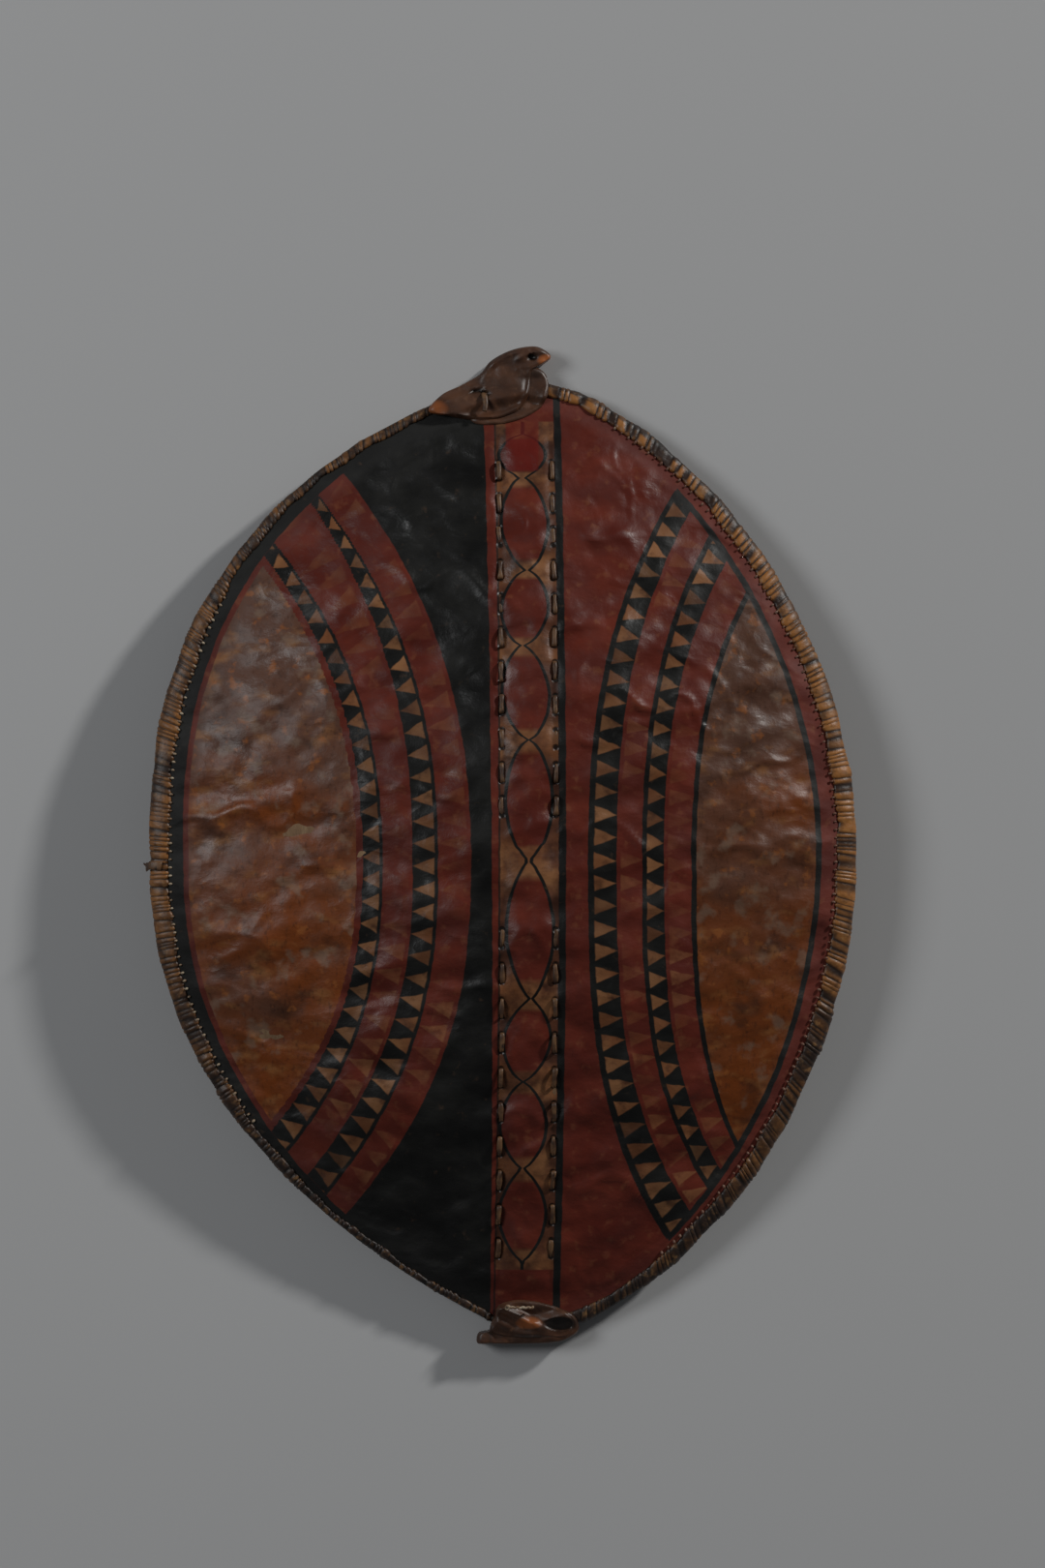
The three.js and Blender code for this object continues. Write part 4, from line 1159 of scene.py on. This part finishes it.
def make_rim_tie():
    """A strip tied over the rim at the left, its dark end standing out like a thorn."""
    inset = [13, 9, 4, 1.0, -0.8, -1.4, -0.8, 1.0, 4, 9, 13]
    rise = [7.4, 8.3, 8.3, 6.8, 3.5, 0, -3.5, -7.0, -8.6, -8.8, -8.4]
    t = np.linspace(0, 10, 41)
    inset, rise = np.interp(t, range(11), inset), np.interp(t, range(11), rise)
    x = (AXIS_X - LEFT_REACH) + inset * MM
    y = np.full_like(x, -0.019) + 0.0008 * np.sin(t)
    path = np.stack([x, y, hide_height(np.maximum(x, AXIS_X - LEFT_REACH), y) + rise * MM], -1)
    wide = (3.9 + 0.5 * np.sin(t * 1.7)) * MM
    rings = ribbon(path, np.tile([0, 1.0, 0], (41, 1)), wide, np.full(41, 0.9 * MM))
    t = np.linspace(0, 1, 12)
    thorn = np.stack([
        (AXIS_X - LEFT_REACH) / MM + 4 - 8 * t, -19 + 2.4 * t ** 2,
        hide_height(AXIS_X - LEFT_REACH, -0.019) / MM + 5.5 - 6 * t], -1) * MM
    slim = (2.6 - 1.9 * t) * MM
    spike = ribbon(thorn, np.tile([0, 1.0, 0], (12, 1)), slim, slim)
    place(loft_object("rim_tie_thong", [rings, spike], thong_material()), "thong", "rim_tie")


# ---- The back: stick, sleeves and grip ----

STICK_HALF_WIDTH = 11.5
STICK_DEPTH = 17
STICK_END_DEPTH = 8
GRIP_Y = -20
GRIP_BOW = 36
GRIP_FLAT = 20
GRIP_END = 84
SLEEVE_HALF_WIDTH = 38
SLEEVE_WALL = 3
STICK_ENDS = (370, -384)
WRAP_HALF_LENGTH = 44
WRAP_TURN = 9


def bow(y):
    """How far the stick stands off the hide at each height, in millimetres."""
    return GRIP_BOW * (1 - ease(np.abs(y - GRIP_Y), GRIP_FLAT, GRIP_END))


def stick_depth(y):
    return STICK_DEPTH - (STICK_DEPTH - STICK_END_DEPTH) * (y * MM / UPPER_LENGTH) ** 2 * 1.25


def stick_rings(y, swell, corners=28):
    """Sections of the stick, a flat-topped round, grown by a wrapping's thickness."""
    half, depth = STICK_HALF_WIDTH + swell, stick_depth(y) + 2 * swell
    middle = midline(y * MM)
    top = hide_height(middle, y * MM) / MM - 3.4 - bow(y) + swell
    turn = np.arange(corners) * 2 * np.pi / corners
    wide = np.sign(np.cos(turn)) * np.abs(np.cos(turn)) ** 0.8 * half
    high = np.sign(np.sin(turn)) * np.abs(np.sin(turn)) ** 0.75
    x = middle[:, None] / MM + wide[None, :]
    z = top[:, None] - depth[:, None] * (0.5 - 0.5 * high[None, :])
    return np.stack([x, np.broadcast_to(y[:, None], x.shape), z], -1) * MM


def wood_material():
    """Carved sapling wood: close straight grain, knife facets, browned by handling."""
    s = Shade("carved_sapling")
    grain = s.noise(0.004, 6, (1, 14, 1))
    colour = s.grade(grain, 0.3, 0.7, "#5d4029", "#8a6642")
    colour = s.grade(s.noise(0.05, 3), 0.5, 0.75, colour, "#4a3220")
    facets = s.noise(0.012, 2, (1, 3, 1), 5)
    return s.finish(colour, 0.55, (facets, 0.0012, 0.5), (grain, 0.0006, 0.6))


def sleeve_material():
    """Bare rawhide shrunk tight over the stick: horny, yellowish, clouded and creased."""
    s = Shade("shrunk_rawhide")
    colour = s.grade(s.noise(0.04, 5), 0.35, 0.65, "#a68558", "#7d5c3a")
    colour = s.grade(s.noise(0.012, 5, shift=3), 0.55, 0.75, colour, "#5d4028", 0.6)
    return s.finish(colour, s.sheen(0.02, 0.25, 0.42), (s.noise(0.008, 5, (1, 2, 1), 6), 0.0012, 0.6))


def grip_material():
    """Soft leather bound round the grip, black-brown and shiny from the hand."""
    s = Shade("bound_grip_leather")
    colour = s.grade(s.noise(0.015, 4), 0.35, 0.65, "#33211a", "#523527")
    turns, pores = s.noise(0.006, 3, (3, 1, 1), 2), s.noise(0.0016, 3)
    return s.finish(colour, s.sheen(0.012, 0.2, 0.35), (turns, 0.001, 0.6), (pores, 0.0005, 0.6))


def make_stick():
    y = np.linspace(*STICK_ENDS, 260)
    rings = stick_rings(y, 0)
    rings[..., 0] += 0.3 * MM * waves(rings[..., 0], rings[..., 1], 0.03, 81)
    rings[..., 2] += 0.3 * MM * waves(rings[..., 0], rings[..., 1], 0.04, 82)
    place(loft_object("carved_midrib", [rings], wood_material()), "wood", "midrib_stick")


def make_grip_wrap():
    y = np.linspace(GRIP_Y + WRAP_HALF_LENGTH, GRIP_Y - WRAP_HALF_LENGTH, 90)
    turns = 0.5 + 0.5 * np.abs(np.sin(np.pi * y / WRAP_TURN)) ** 0.6
    inner = stick_rings(y, 0.5)
    heart = inner.mean(axis=1, keepdims=True)
    away = inner - heart
    away /= np.linalg.norm(away, axis=2, keepdims=True)
    ends = ease(np.abs(y - GRIP_Y), WRAP_HALF_LENGTH, WRAP_HALF_LENGTH - 3)[:, None, None]
    outer = inner + away * (0.6 + (1.3 + 0.7 * turns[:, None, None]) * ends) * MM
    rings = np.concatenate([outer, inner[::-1]])
    place(loft_object("grip_binding", [rings], grip_material(), loop=True), "grip_leather", "grip_wrap")


def sleeve_rings(y):
    hollow = STICK_HALF_WIDTH + 1.5
    crown = hollow + SLEEVE_WALL
    depth = stick_depth(y) + bow(y) + 1.2
    side, knee = SLEEVE_HALF_WIDTH, 0.62 * SLEEVE_HALF_WIDTH
    section = [
        (-side, 0, 0), (-side, 0, 1), (-knee, 0, 1), (-crown - 1.5, 0.05, 1), (-crown, 0.45, 1),
        (-crown + 2, 0.85, 1), (-0.5 * crown, 1, 1), (0, 1.03, 1), (0.5 * crown, 1, 1),
        (crown - 2, 0.85, 1), (crown, 0.45, 1), (crown + 1.5, 0.05, 1), (knee, 0, 1),
        (side, 0, 1), (side, 0, 0), (knee, 0, 0), (hollow, 0, 0), (hollow, 0.5, 0),
        (0.8 * hollow, 0.95, 0), (0, 1, 0), (-0.8 * hollow, 0.95, 0), (-hollow, 0.5, 0),
        (-hollow, 0, 0), (-knee, 0, 0),
    ]
    across, down, wall = (np.array(column) for column in zip(*section))
    edge = 1.2 * waves(y * MM, y * MM, 0.05, 85)[:, None] * (np.abs(across) == SLEEVE_HALF_WIDTH)
    x = midline(y * MM)[:, None] / MM + across * (1 - edge / SLEEVE_HALF_WIDTH)
    yy = np.broadcast_to(y[:, None], x.shape)
    z = hide_height(x * MM, yy * MM) / MM - 3.1 - down * depth[:, None] - wall * SLEEVE_WALL
    return np.stack([x, yy, z], -1) * MM


def make_sleeves():
    material = sleeve_material()
    for name, top, bottom in (("upper_sleeve", 382, 37), ("lower_sleeve", -77, -396)):
        rings = sleeve_rings(np.linspace(top, bottom, 70))
        sleeve = loft_object("shrunk_" + name, [rings], material)
        smooth = sleeve.modifiers.new("soft", "SUBSURF")
        smooth.levels = smooth.render_levels = 2
        place(sleeve, "bare_hide", name)


# ---- Run ----

make_camera()
make_floor()
make_lights()
make_hide()
make_rim()
make_rim_stitches()
make_rim_tie()
make_lacing()
make_caps()
make_cap_thongs()
make_stick()
make_grip_wrap()
make_sleeves()
